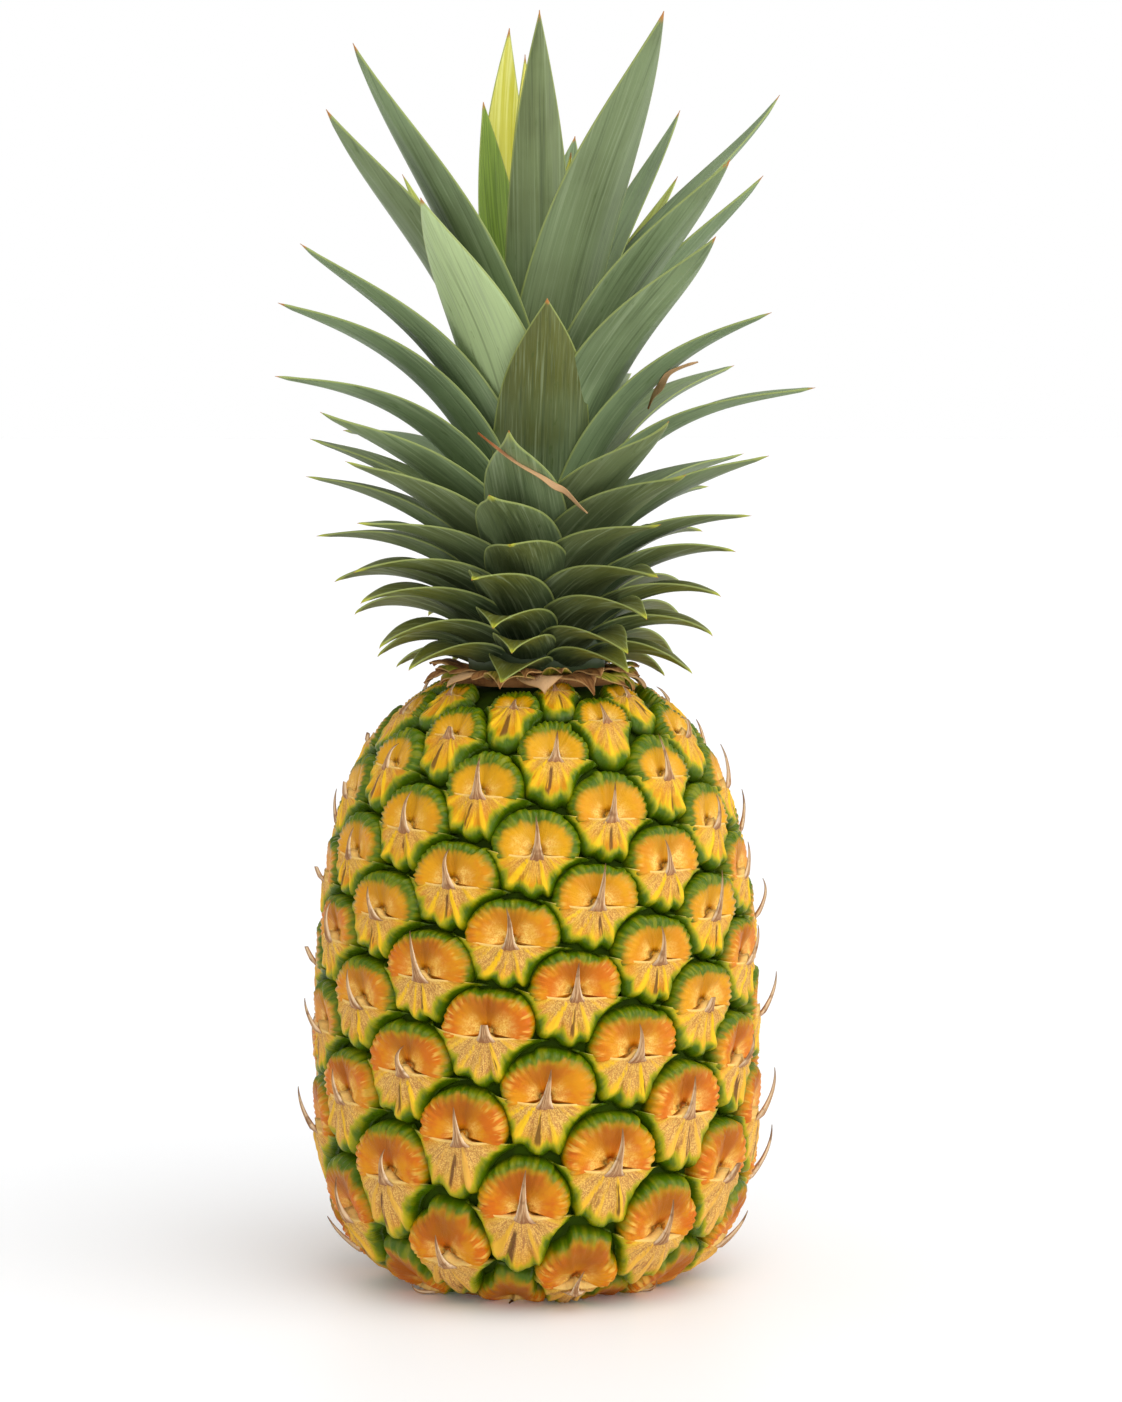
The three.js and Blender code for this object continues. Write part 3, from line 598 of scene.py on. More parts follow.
def bract_form():
    """The folded bract under the cushion: columns from its lip down to the groove."""
    s = np.linspace(-1, 1, BRACT_COLUMNS)
    t = np.array(BRACT_ROWS, float)[:, None]
    off = np.abs(s)
    corners = np.array(BRACT_OUTLINE)
    lengths = np.concatenate([[0], np.cumsum(np.hypot(*np.diff(corners, axis=0).T))])
    outline = np.column_stack([2 * lengths / lengths[-1] - 1, corners])
    foot_x, foot_y = curve_through(outline, s).T
    (wing_x, left_y), (_, right_y) = corners[0], corners[-1]
    wing_y = np.where(s < 0, left_y, right_y)
    lip_x = -wing_x * s
    sweep = LIP_SWEEP * np.maximum(0, 1 - np.abs(lip_x) / LIP_SWEEP_HALF_WIDTH) ** 2
    lip_y = BRACT_LIP_Y + (wing_y - BRACT_LIP_Y) * off**2.2 + sweep
    x = lip_x + t * (foot_x - lip_x)
    y = lip_y + t * (foot_y - lip_y)
    lip_w = curve_through(LIP_HEIGHTS, off)[:, 0]
    gap = np.hypot(x[..., None] - foot_x, y[..., None] - foot_y).min(-1)
    drop = BRACT_EDGE_DROP * (1 - smooth_step(-0.4, BRACT_EDGE, gap)) ** 1.3
    w = lip_w * (1 - 0.35 * t) - drop
    # the lip's underside, then the skirt beyond the foot, close each column into a ring
    under_y, under_w = lip_y - LIP_EDGE, np.minimum(lip_w - LIP_THICKNESS, -0.6)
    x = np.concatenate([lip_x[None], x, 1.01 * foot_x[None]])
    y = np.concatenate([under_y[None], y, 1.01 * foot_y[None]])
    w = np.concatenate([under_w[None], w, np.full((1, len(s)), SKIRT_HEIGHT)])
    gap = np.concatenate([gap[:1], gap, np.zeros((1, len(s)))])
    rows = len(x)
    quads, ends = tube_faces(len(s), rows)
    marks = {
        "down": np.tile(np.concatenate([[0], t[:, 0], [1]]), len(s)),
        "aside": np.repeat(s, rows),
        "ray": np.arctan2(x, RAY_ORIGIN_Y - y).T.ravel(),
        "out": np.hypot(x, RAY_ORIGIN_Y - y).T.ravel(),
        "gap": gap.T.ravel(),
    }
    return EyeForm(x.T, y.T, w.T, quads, ends, marks)


def uneven_humps(number, ray, rows, salt):
    """The sum of the humps in rows of (place, width, height), each with draws of its own."""
    total = np.zeros_like(ray)
    for k, (place, width, height) in enumerate(rows):
        share = 1 + 0.4 * wobble(number, salt + k)
        total += height * share * hump(ray, place + 0.05 * wobble(number, salt + 10 + k), width)
    return total


def bract_on(form, eye, relief):
    """A bract's own points: ridges and folds that fan out, an uneven lip and dents."""
    n = eye.number
    down, aside, ray, out, gap = form.marks.values()
    body = smooth_step(0, 0.12, down) * smooth_step(0, BRACT_EDGE, gap)
    bent = ray + 0.07 * wobble(n, 46) + 0.05 * ripple(form, eye, 14, 70)
    ridges, folds = uneven_humps(n, bent, RIDGES, 100), uneven_humps(n, bent, FOLDS, 120)
    reach = smooth_step(2.5, 6, out)
    pleats = PLEAT_HEIGHT * np.cos((PLEATS + 4 * wobble(n, 45)) * bent)
    ridges = ridges * reach
    folds = folds * smooth_step(5, 12, out)
    uneven = BRACT_UNEVENNESS * ripple(form, eye, 9, 80)
    raised = RIDGE_HEIGHT * ridges - FOLD_DEPTH * folds * reach + pleats * reach + uneven
    lip = (1 - smooth_step(0.1, 0.3, down)) * (np.abs(aside) < 0.95)
    w = form.w + relief * body * raised + LIP_UNEVENNESS * ripple(form, eye, 5, 90) * lip
    marks = {**eye_marks(form, eye), "ridge": ridges, "fold": folds}
    return form.on(eye, w), form.quads, form.triangles, marks


def spine_on(eye):
    """The dry spine that rises from the bract's lip: flat and wide at its foot, then a thorn."""
    n = eye.number
    is_short = eye.height < SHORT_SPINE["below"] or eye.height > SHORT_SPINE["above"]
    share = SHORT_SPINE["share"] if is_short else 1
    length = share * SPINE_TIP[0] * (1 + SPINE_WOBBLES["length"] * wobble(n, 4))
    lean = share * (SPINE_TIP[1] - SPINE_FOOT_W) * (1 + SPINE_WOBBLES["lean"] * wobble(n, 5))
    side = SPINE_WOBBLES["sideways"] * wobble(n, 6)
    end = BROKEN_SPINE["length"] if wobble(n, 7) > BROKEN_SPINE["from"] else 1
    curl = SPINE_CURL * wobble(n, 8) ** 2
    t = np.linspace(0, end, SPINE_STATIONS)
    x = side * t**1.5 + 0.9 * curl * np.sin(3 * t) * t * wobble(n, 9)
    y = SPINE_FOOT_Y + (length - SPINE_FOOT_Y) * t**1.2 - 0.5 * curl * t**3
    w = 2.1 + 0.9 * t + lean * (1.5 * t - 0.5 * t**3) - 0.8 * curl * t**4
    half_width = look_up(SPINE_HALF_WIDTHS, t)
    half_depth = look_up(SPINE_HALF_DEPTHS, t)
    around = 2 * math.pi * np.arange(SPINE_SIDES) / SPINE_SIDES
    keel = 1 + 0.5 * (np.sin(around) > 0.9)
    xs = x[:, None] + half_width[:, None] * np.cos(around)
    ws = w[:, None] + half_depth[:, None] * np.sin(around) * keel
    ys = np.broadcast_to(y[:, None], xs.shape)
    quads, ends = tube_faces(SPINE_STATIONS, SPINE_SIDES)
    azimuth = eye.azimuth + (xs * eye.scale).ravel() / eye.girth
    points = skin_points(eye.along + (ys * eye.scale).ravel(), azimuth, (ws * eye.scale).ravel())
    marks = {
        "rise": np.repeat(t, SPINE_SIDES),
        "side": np.tile(np.cos(around), SPINE_STATIONS),
        "draw": 0.5 + 0.5 * wobble(n, 32),
    }
    return points, quads[:, ::-1], ends[:, ::-1], marks


def groove_skin():
    """The green skin that lies in the grooves and closes the fruit under the crown and the base."""
    rings, sides = 110, 120
    along = np.linspace(LOW_EDGE, HIGH_EDGE, rings)
    azimuth = np.linspace(0, 2 * math.pi, sides, endpoint=False)
    wave = 0.2 * np.sin(7 * azimuth[None] + 0.3 * along[:, None])
    w = (GROOVE_HEIGHT + wave).ravel()
    points = skin_points(np.repeat(along, sides), np.tile(azimuth, rings), w)
    quads, ends = tube_faces(rings, sides)
    return points, quads, ends, {"draw": 0.5}


# Leaves


class Arch:
    """The line of a leaf in its upright plane: a cubic between two points (radius, height)."""

    def __init__(self, base, tip, rise, tip_angle, tip_handle=TIP_HANDLE):
        base, tip = np.array(base, float), np.array(tip, float)
        reach = np.hypot(*(tip - base))
        way_out, way_in = (
            np.array([math.cos(angle), math.sin(angle)])
            for angle in (math.radians(rise), math.radians(tip_angle))
        )
        handles = base + ROOT_HANDLE * reach * way_out, tip - tip_handle * reach * way_in
        self.knots = base, *handles, tip

    def at(self, t):
        a, b, c, d = self.knots
        t = t[:, None]
        return (1 - t) ** 3 * a + 3 * (1 - t) ** 2 * t * b + 3 * (1 - t) * t**2 * c + t**3 * d

    def direction(self, t):
        a, b, c, d = self.knots
        t = t[:, None]
        way = (1 - t) ** 2 * (b - a) + 2 * (1 - t) * t * (c - b) + t**2 * (d - c)
        return way / np.linalg.norm(way, axis=1, keepdims=True)


def leaf(
    number, azimuth, arch, shape, width, hollow, stations, lanes, thick, marks, bend=0, crinkle=0
):
    """A blade hollowed towards the stem, thick along its middle and thin at its margins."""
    t = 1 - (1 - np.linspace(0, 1, stations)) ** 1.25
    line, way = arch.at(t), arch.direction(t)
    u = np.linspace(-1, 1, lanes)
    half = (width / 2) * curve_through(shape, t)[:, 0]
    half = np.maximum(half, 0.12)
    curl = hollow * half * (1 - 0.35 * t)
    lift = curl[:, None] * np.abs(u) ** 1.7
    channel = 0.05 * np.minimum(half, 4)[:, None] * np.cos(3 * math.pi * u) * (1 - np.abs(u))
    wave = crinkle * np.sin(9 * t[:, None] + 3 * wobble(number, 91) + 2.5 * u) * (0.3 + np.abs(u))
    body = thick * (1 - 0.55 * t)[:, None] * (1 - np.abs(u) ** 2.5) + LEAF_MARGIN
    body = np.minimum(body, 0.7 * half[:, None])
    sway = bend * wobble(number, 92) * t**2
    twist = LEAF_TWIST * wobble(number, 93) * t
    faces = []
    for face in (-0.5, 0.5):
        side = half[:, None] * u
        height = lift + channel + wave + face * body
        faces.append((side * np.cos(twist)[:, None], height + side * np.sin(twist)[:, None]))
    side, height = (
        np.concatenate([under, over[:, ::-1]], axis=1) for under, over in zip(*faces)
    )
    side = side + sway[:, None]
    r = line[:, 0, None] - height * way[:, 1, None]
    z = line[:, 1, None] + height * way[:, 0, None]
    out = radial(np.radians(azimuth))
    across = np.array([-out[1], out[0], 0.0])
    points = r[..., None] * out + side[..., None] * across + z[..., None] * np.array([0, 0, 1.0])
    sides = 2 * lanes
    quads, ends = tube_faces(stations, sides)
    lane = np.concatenate([u, u[::-1]])
    marks = {
        **marks,
        "along": np.repeat(t, sides),
        "lane": np.tile(lane, stations),
        "half": np.repeat(half, sides),
        "draw": 0.5 + 0.5 * wobble(number, 94),
    }
    return points.reshape(-1, 3), quads, ends, marks


def rank_leaf(k):
    share = k / (RANK_LEAVES - 1)
    tip_radius, tip_height, base_height, rise, tip_angle, width = (
        look_up(RANKS, share, column) for column in range(1, 7)
    )
    azimuth = RANK_ZERO_AZIMUTH + RANK_STEP * k + AZIMUTH_WOBBLE * wobble(k, 11)
    frontness = max(0, math.cos(math.radians(azimuth))) ** 2
    arch = Arch(
        (look_up(STEM_PROFILE, base_height) - LEAF_ROOT_SINK, base_height),
        (
            tip_radius + REACH_WOBBLE * wobble(k, 12),
            tip_height + FRONT_LIFT * frontness + REACH_WOBBLE * wobble(k, 13),
        ),
        rise,
        tip_angle + FRONT_STRAIGHTEN * frontness + DROOP_WOBBLE * wobble(k, 14),
        RANK_TIP_HANDLE,
    )
    width *= 1 + RANK_WIDTH_WOBBLE * wobble(k, 15)
    marks = {"age": 0.5 * share, "yellow": 0.0, "olive": 0.15}
    return leaf(k, azimuth, arch, RANK_LEAF_SHAPE, width, 0.42, 34, 11, 1.3, marks, bend=1.5)


def long_leaf(k, azimuth, tip_radius, tip_height, tip_angle, width, yellow=0.0, olive=0.0):
    base_height = look_up(LONG_BASE, tip_height)
    arch = Arch(
        (max(3, look_up(STEM_PROFILE, base_height) - LEAF_ROOT_SINK), base_height),
        (tip_radius, tip_height),
        look_up(LONG_RISE, tip_height),
        tip_angle,
    )
    age = float(np.clip(0.55 + 0.45 * (tip_height - 250) / 60, 0, 1))
    marks = {"age": age, "yellow": yellow, "olive": olive}
    return leaf(100 + k, azimuth, arch, LEAF_SHAPE, width, 0.36, 48, 15, 1.7, marks, bend=2.0)


def heart_leaf(k, azimuth, tip_radius, tip_height, rise, tip_angle, width, yellow):
    arch = Arch((1.5, HEART_BOTTOM + 1), (tip_radius, tip_height), rise, tip_angle)
    marks = {"age": 1.0, "yellow": yellow, "olive": 0.0}
    return leaf(200 + k, azimuth, arch, LEAF_SHAPE, width, 0.4, 40, 13, 1.1, marks)


def collar_blade(k, row):
    """A dry bract: the first row hangs over the fruit's top, the second stands off above it."""
    number = 300 + k + 40 * row
    reach = COLLAR_REACH - 2.0 * row + 3.0 * wobble(k, 22)
    tip_height, base_share, rise, tip_angle = COLLAR_ROWS[row]
    arch = Arch(
        (COLLAR_INNER_RADIUS + 1.0, COLLAR_BOTTOM + COLLAR_HEIGHT * base_share),
        (reach, tip_height + 1.3 * wobble(number, 23)),
        rise,
        tip_angle + 14 * wobble(number, 25),
    )
    azimuth = 360 / COLLAR_BLADES * (k + 0.3 * wobble(k, 21) + 0.5 * row)
    width = COLLAR_BLADE_WIDTH * (1.3 - 0.25 * row) * (1 + 0.2 * wobble(number, 24))
    looks = RANK_LEAF_SHAPE, width, -0.12, 20, 9, 0.6, {}, 3.0, 0.35
    return leaf(number, azimuth, arch, *looks)


def dry_strip(number, line, half_width):
    """A curled strip of dead leaf along a line of points, flat and pointed at both ends."""
    t = np.linspace(0, 1, STRIP_STATIONS)
    places = np.linspace(0, 1, len(line))
    middle = curve_through(np.column_stack([places, line]), t)
    way = np.gradient(middle, axis=0)
    way /= np.linalg.norm(way, axis=1, keepdims=True)
    side = np.cross(way, (0, -1, 0))
    side /= np.linalg.norm(side, axis=1, keepdims=True)
    front = np.cross(side, way)
    roll = STRIP_ROLL * np.sin(5 * t + number)
    around = 2 * math.pi * np.arange(STRIP_SIDES) / STRIP_SIDES
    half = half_width * np.sin(math.pi * np.clip(t, 0.04, 0.97)) ** 0.6
    flat = half[:, None] * np.cos(around)
    deep = STRIP_THICKNESS * np.sin(around) + STRIP_HOLLOW * np.cos(around) ** 2 * half[:, None]
    turned = np.cos(roll)[:, None], np.sin(roll)[:, None]
    along_side = flat * turned[0] - deep * turned[1]
    along_front = flat * turned[1] + deep * turned[0]
    points = middle[:, None] + along_side[..., None] * side[:, None]
    points = points + along_front[..., None] * front[:, None]
    quads, ends = tube_faces(STRIP_STATIONS, STRIP_SIDES)
    marks = {
        "along": np.repeat(t, STRIP_SIDES),
        "lane": np.tile(np.cos(around), STRIP_STATIONS),
        "half": half_width,
        "draw": 0.95,
    }
    return points.reshape(-1, 3), quads, ends, marks


def turned_solid(profile, sides):
    """A closed solid of revolution from (radius, height) rows, the first and last on the axis."""
    azimuth = np.linspace(0, 2 * math.pi, sides, endpoint=False)
    radius, height = np.array(profile, float).T
    points = radial(np.tile(azimuth, len(radius))) * np.repeat(radius, sides)[:, None]
    points[:, 2] = np.repeat(height, sides)
    return points, *tube_faces(len(radius), sides)


# Materials


def maths(operation):
    """A method of Value that adds a math node."""
    return lambda *numbers: numbers[0].shader.node("Math", numbers, operation=operation)


class Value:
    """An output of a node. Sums and products of values, and their steps, are nodes too."""

    __add__, __sub__, __mul__ = maths("ADD"), maths("SUBTRACT"), maths("MULTIPLY")
    __abs__ = maths("ABSOLUTE")

    def __init__(self, shader, socket):
        self.shader, self.socket = shader, socket

    def step(self, low, high, to_low=0, to_high=1):
        """A smooth change from to_low to to_high as the value goes from low to high."""
        limits = (self, low, high, to_low, to_high)
        return self.shader.node("MapRange", limits, interpolation_type="SMOOTHSTEP")


class Shader:
    """A material with one principled shader, and short calls that add the nodes before it."""

    def __init__(self, name, roughness, **whole_surface):
        self.material = bpy.data.materials.new(name)
        self.material.use_nodes = True
        self.tree = self.material.node_tree
        self.colour = None
        self.surface = self.tree.nodes["Principled BSDF"].inputs
        self.surface["Roughness"].default_value = roughness
        for socket, value in whole_surface.items():
            self.surface[socket.replace("_", " ")].default_value = value

    def put(self, socket, value):
        if isinstance(value, Value):
            self.tree.links.new(value.socket, socket)
        else:
            socket.default_value = (*value, 1) if socket.type == "RGBA" else value

    def node(self, kind, inputs=(), output=0, **options):
        """A node's output; inputs are values for its sockets, in their order or by name."""
        node = self.tree.nodes.new("ShaderNode" + kind)
        for option, choice in options.items():
            setattr(node, option, choice)
        named = inputs.items() if isinstance(inputs, dict) else enumerate(inputs)
        for key, value in named:
            self.put(node.inputs[key], value)
        return Value(self, node.outputs[output])

    def marks(self, *names):
        """The numbers that a mesh holds for each of its points."""
        return [self.node("Attribute", output="Fac", attribute_name=name) for name in names]

    def noise(self, scale, detail, at=None):
        at = at or self.node("TexCoord", output="Object")
        inputs = {"Vector": at, "Scale": scale, "Detail": detail, "Roughness": 0.55}
        return self.node("TexNoise", inputs)

    def streaks(self, detail, x, y, z):
        """Noise over a space of its own, stretched by its three scales."""
        return self.noise(1, detail, self.node("CombineXYZ", (x, y, z)))

    def mix(self, share, first, second):
        inputs = {0: share, 6: first, 7: second}
        return self.node("Mix", inputs, 2, data_type="RGBA", clamp_factor=True)

    def paint(self, colour, share):
        """Covers a share of what is painted so far."""
        self.colour = self.mix(share, self.colour, colour)

    def finish(self, roughness=None, *bumps):
        """Links the colour, the roughness and bumps given as (height, distance in mm) pairs."""
        normal = None
        for height, distance in bumps:
            inputs = {"Distance": distance * MM, "Height": height}
            if normal:
                inputs["Normal"] = normal
            normal = self.node("Bump", inputs)
        links = (("Base Color", self.colour), ("Roughness", roughness), ("Normal", normal))
        for socket, value in links:
            if value:
                self.put(self.surface[socket], value)
        return self.material


def cushion_material(colours):
    """Pale stippled cheeks, orange towards a thin green, ribbed rim, and a green cap at the top."""
    s = Shader("cushion_skin", 0.36, Specular_IOR_Level=0.22)
    rim, turn, ripe, draw, hollow = s.marks("rim", "turn", "ripe", "draw", "hollow")
    patches = s.noise(150, 3)
    stipple = s.noise(2400, 2)
    rays = s.streaks(2, turn * 26, rim * 2.2, draw * 60)
    aside = abs(turn - 0.5)
    up = aside.step(0.36, 0.06)
    edge = rim + (patches - 0.5) * 0.3 + (rays - 0.5) * 0.2
    orange = s.mix(patches.step(0.4, 0.62), colours.cushion_orange, rgb(216, 138, 0))
    orange = s.mix(up * rim.step(0.15, 0.5, 0.25, 0.85), orange, rgb(160, 86, 0))
    orange = s.mix(ripe.step(0.75, 0.2, 0, 0.7), orange, rgb(220, 168, 4))
    pale = s.mix(stipple.step(0.42, 0.62, 0, 0.7), colours.cushion_pale, rgb(226, 150, 56))
    cheek = aside.step(0.1, 0.28) * (edge + draw * 0.15).step(0.66, 0.3)
    s.colour = s.mix(cheek * s.noise(420, 2).step(0.62, 0.4, 0.45, 1.0), orange, pale)
    glint = rim.step(0.66, 0.8) * rays.step(0.5, 0.62) * aside.step(0.1, 0.3)
    s.paint(rgb(252, 214, 96), glint * 0.5)
    green_at = edge + up * 0.14 - (ripe - 0.7) * 0.34 + draw * 0.05
    green = s.mix(rays.step(0.4, 0.7, 0, 0.6), colours.rim_green, rgb(150, 148, 14))
    s.paint(rgb(176, 132, 0), green_at.step(0.8, 0.97, 0, 0.85))
    s.paint(green, green_at.step(0.91, 1.03))
    s.paint(colours.groove_green, (rim + (patches - 0.5) * 0.06).step(0.97, 1.03))
    # Painted shade: the hollows beside the spine's foot are painted dark brown
    s.paint(rgb(70, 38, 14), hollow.step(0.4, 0.8))
    roughness = green_at.step(0.6, 0.95, 0.5, 0.3)
    return s.finish(roughness, (stipple, 0.14), (rays, 0.25))


def bract_material(colours):
    """A tan, stippled middle from which yellow ridges fan out into green lobes and wings."""
    s = Shader("bract_skin", 0.42, Specular_IOR_Level=0.2)
    down, aside, ray, out, gap = s.marks("down", "aside", "ray", "out", "gap")
    ridge, fold, ripe, draw = s.marks("ridge", "fold", "ripe", "draw")
    off = abs(aside)
    wide = abs(ray)
    patches = s.noise(170, 3)
    rays = s.streaks(2.5, ray * 8, out * 0.1, draw * 60)
    fine = s.streaks(2, ray * 26, out * 0.35, draw * 60)
    grain = s.noise(2600, 2)
    yellow = s.mix(patches.step(0.35, 0.65), colours.bract_yellow, rgb(210, 134, 0))
    yellow = s.mix(rays.step(0.45, 0.7), yellow, rgb(240, 194, 20))
    tan = s.mix(grain.step(0.4, 0.62, 0, 0.8), colours.bract_tan, rgb(242, 202, 108))
    tan = s.mix(fine.step(0.5, 0.68, 0, 0.8), tan, rgb(160, 104, 64))
    near = out + (patches - 0.5) * 5 + (rays - 0.5) * 5 + draw * 3 - ripe * 7
    middle = near.step(13, 5.5) * wide.step(1.4, 0.8) * ridge.step(0.9, 0.3)
    s.colour = s.mix(middle * ripe.step(0.1, 0.8, 0.6, 0.95), yellow, tan)
    crest = s.mix(ripe.step(0.6, 0.95), rgb(250, 200, 26), rgb(232, 178, 84))
    s.paint(crest, ridge.step(0.25, 0.8, 0, 0.75))
    s.paint(rgb(150, 96, 10), fold.step(0.3, 0.9, 0, 0.55))
    scar_at = ray + (draw - 0.5) * 0.5
    scar = abs(scar_at).step(0.09, 0.04) * (rays + draw * 0.2).step(0.55, 0.65)
    scar = scar * out.step(5.0, 6.5) * gap.step(2.0, 4.0)
    s.paint(rgb(84, 44, 20), scar * 0.85)
    border = gap.step(5.4, 0.5) * wide.step(1.15, 0.7) + down.step(0.1, 1) * wide.step(0.7, 1.15)
    border += off.step(0.42, 0.85, 0, 0.95) + (patches - 0.5) * 0.6 + (rays - 0.5) * 0.7
    border += (fold - ridge) * 0.3 - (ripe - 0.6) * 0.15
    s.paint(rgb(172, 162, 6), border.step(0.15, 0.62))
    s.paint(colours.rim_green, border.step(0.42, 1.05))
    s.paint(colours.groove_green, (gap + (patches - 0.5) * 1.5).step(1.2, 0.2))
    lip = down.step(0.07, 0.02) * off.step(0.85, 0.55)
    s.paint(rgb(246, 206, 120), lip * 0.85)
    roughness = border.step(0.3, 0.9, 0.52, 0.3)
    return s.finish(roughness, (grain, 0.12), (fine, 0.22), (rays, 0.3))


def spine_material(colours):
    """Dry straw, streaked lengthwise, with pale edges, browner at the foot and the tip."""
    s = Shader("dry_spine", 0.75, Specular_IOR_Level=0.2)
    rise, side, draw = s.marks("rise", "side", "draw")
    fibres = s.streaks(3, side * 5, rise * 2.5, draw * 70)
    patches = s.noise(300, 2)
    s.colour = s.mix(fibres.step(0.38, 0.62), rgb(150, 106, 66), colours.dry_tan)
    s.paint(rgb(244, 222, 184), abs(side).step(0.55, 0.95, 0, 0.75))
    s.paint(rgb(126, 84, 50), patches.step(0.52, 0.7, 0, 0.7))
    s.paint(rgb(116, 76, 44), rise.step(0.7, 1.0, 0, 0.7))
    foot = (rise + (patches - 0.5) * 0.3).step(0.24, 0.04, 0, 0.6)
    s.paint(rgb(150, 98, 62), foot)
    return s.finish(None, (fibres, 0.3))


def groove_material(colours):
    """Patchy dark green."""
    s = Shader("groove_skin", 0.9, Specular_IOR_Level=0.1)
    patches = s.noise(220, 3)
    s.colour = s.mix(patches.step(0.35, 0.65), colours.groove_green, rgb(40, 56, 4))
    return s.finish(None, (patches, 0.3))


def leaf_material(colours):
    """Waxy green with lengthwise lines, thin pale margins and dry tips, greyer on tall leaves."""
    s = Shader("crown_leaf", 0.5, Specular_IOR_Level=0.35)
    along, lane, half, age = s.marks("along", "lane", "half", "age")
    draw, yellow, olive = s.marks("draw", "yellow", "olive")
    wide = lane * half
    from_edge = half - abs(wide)
    lines = s.streaks(2, wide * 1.5, along * 2.5, draw * 90)
    fine = s.streaks(2, wide * 3.2, along * 7, draw * 90)
    cloud = s.noise(45, 3)
    blotch = s.streaks(3, wide * 0.6, along * 12, draw * 50)
    tall = (age + (cloud - 0.5) * 0.25 - along * 0.1).step(0.12, 0.5)
    root = s.mix(tall, rgb(50, 66, 36), colours.leaf_tall)
    root = s.mix(cloud.step(0.35, 0.7, 0, 0.5), root, rgb(94, 112, 78))
    warm = age.step(0.48, 0) * 0.95 + olive
    where = along + (cloud - 0.5) * 0.5 + (lines - 0.5) * 0.3
    s.colour = s.mix(warm * where.step(0.08, 0.6), root, colours.leaf_low)
    s.paint(rgb(104, 108, 62), (draw + cloud * 0.4).step(0.8, 1.2, 0, 0.35))
    s.paint(rgb(58, 66, 34), (olive + (cloud - 0.5) * 0.8).step(0, 1.0, 0, 0.45))
    # Painted light: a negative olive paints a leaf paler, as if lit where it faces the light
    painted_leaf_light = (olive + (lines - 0.5) * 0.6).step(-0.1, -0.9)
    s.paint(rgb(180, 200, 144), painted_leaf_light)
    s.paint(rgb(160, 174, 136), lines.step(0.52, 0.74, 0, 0.42))
    s.paint(rgb(58, 72, 42), lines.step(0.46, 0.26, 0, 0.45))
    s.paint(rgb(146, 160, 120), fine.step(0.5, 0.75, 0, 0.22))
    keel = abs(wide).step(0.5, 0.15) * along.step(0.95, 0.5)
    s.paint(rgb(62, 76, 44), keel * 0.35)
    s.paint(rgb(66, 88, 30), blotch.step(0.63, 0.76, 0, 0.5))
    young = s.mix((lines + cloud * 0.4).step(0.5, 0.9), rgb(216, 208, 72), rgb(238, 234, 140))
    fresh = s.mix(lines.step(0.35, 0.65), rgb(70, 112, 24), rgb(116, 152, 44))
    s.paint(fresh, yellow.step(0.02, 0.08))
    s.paint(young, yellow)
    margin = from_edge.step(0.45, 0.15, 0, 0.7)
    s.paint(colours.leaf_margin, margin)
    tip = along + (fine - 0.5) * 0.05
    low = age.step(0.55, 0.3)
    s.paint(rgb(176, 178, 50), tip.step(0.84, 0.96, 0, 0.9) * low)
    s.paint(rgb(176, 118, 56), tip.step(0.97, 0.99))
    roughness = lines.step(0.3, 0.7, 0.44, 0.58)
    return s.finish(roughness, (lines, 0.2))


def dry_leaf_material(colours):
    """Dry papery bracts: brown to tan with lengthwise veins, some still green in the middle."""
    s = Shader("dry_bract", 0.8, Specular_IOR_Level=0.2)
    along, lane, half, draw = s.marks("along", "lane", "half", "draw")
    veins = s.streaks(3, lane * half * 1.6, along * 2, draw * 90)
    patches = s.noise(160, 3)
    s.colour = s.mix(veins.step(0.35, 0.65), colours.dry_brown, rgb(168, 118, 68))
    s.paint(rgb(78, 46, 20), patches.step(0.5, 0.7))
    green = draw.step(0.42, 0.55) * draw.step(0.85, 0.78) * along.step(0.1, 0.3)
    leafy = s.mix(veins.step(0.35, 0.65), rgb(104, 112, 22), rgb(170, 160, 48))
    s.paint(leafy, green * (along + (patches - 0.5) * 0.5).step(0.9, 0.6))
    s.paint(colours.dry_tan, draw.step(0.8, 0.92) * 0.85)
    s.paint(rgb(132, 70, 28), draw.step(0.9, 0.93) * along.step(0.3, 0))
    edge = abs(lane).step(0.8, 1.0, 0, 0.6)
    s.paint(rgb(206, 164, 106), edge)
    return s.finish(None, (veins, 0.3), (patches, 0.3))


def stalk_material(colours):
    """The cut across the stalk: pale fibres, darker towards the edge."""
    s = Shader("cut_stalk", 0.85)
    (out,) = s.marks("out")
    fibres = s.noise(1400, 3)
    s.colour = s.mix(fibres.step(0.4, 0.6), colours.dry_tan, rgb(226, 202, 150))
    s.paint(rgb(116, 82, 48), (out + s.noise(300, 3) * 0.3).step(0.8, 1.15))
    return s.finish(None, (fibres, 0.4))


def floor_material():
    """A pale matt sheet with a trace of unevenness."""
    s = Shader("pale_floor", 0.5)
    tone = s.noise(3, 2)
    s.colour = s.mix(tone.step(0.3, 0.7), (0.955, 0.96, 0.97), (0.965, 0.97, 0.98))
    return s.finish()


# Settings


def number(name, description, default, **options):
    return FloatProperty(name=name, description=description, default=default, **options)


def length(name, description, default):
    return number(name, description, default, unit="LENGTH")


def angle(name, description, degrees):
    return number(name, description, math.radians(degrees), subtype="ANGLE")


def colour(name, description, *screen):
    limits = {"subtype": "COLOR", "size": 3, "min": 0, "max": 1}
    return FloatVectorProperty(name=name, description=description, default=rgb(*screen), **limits)


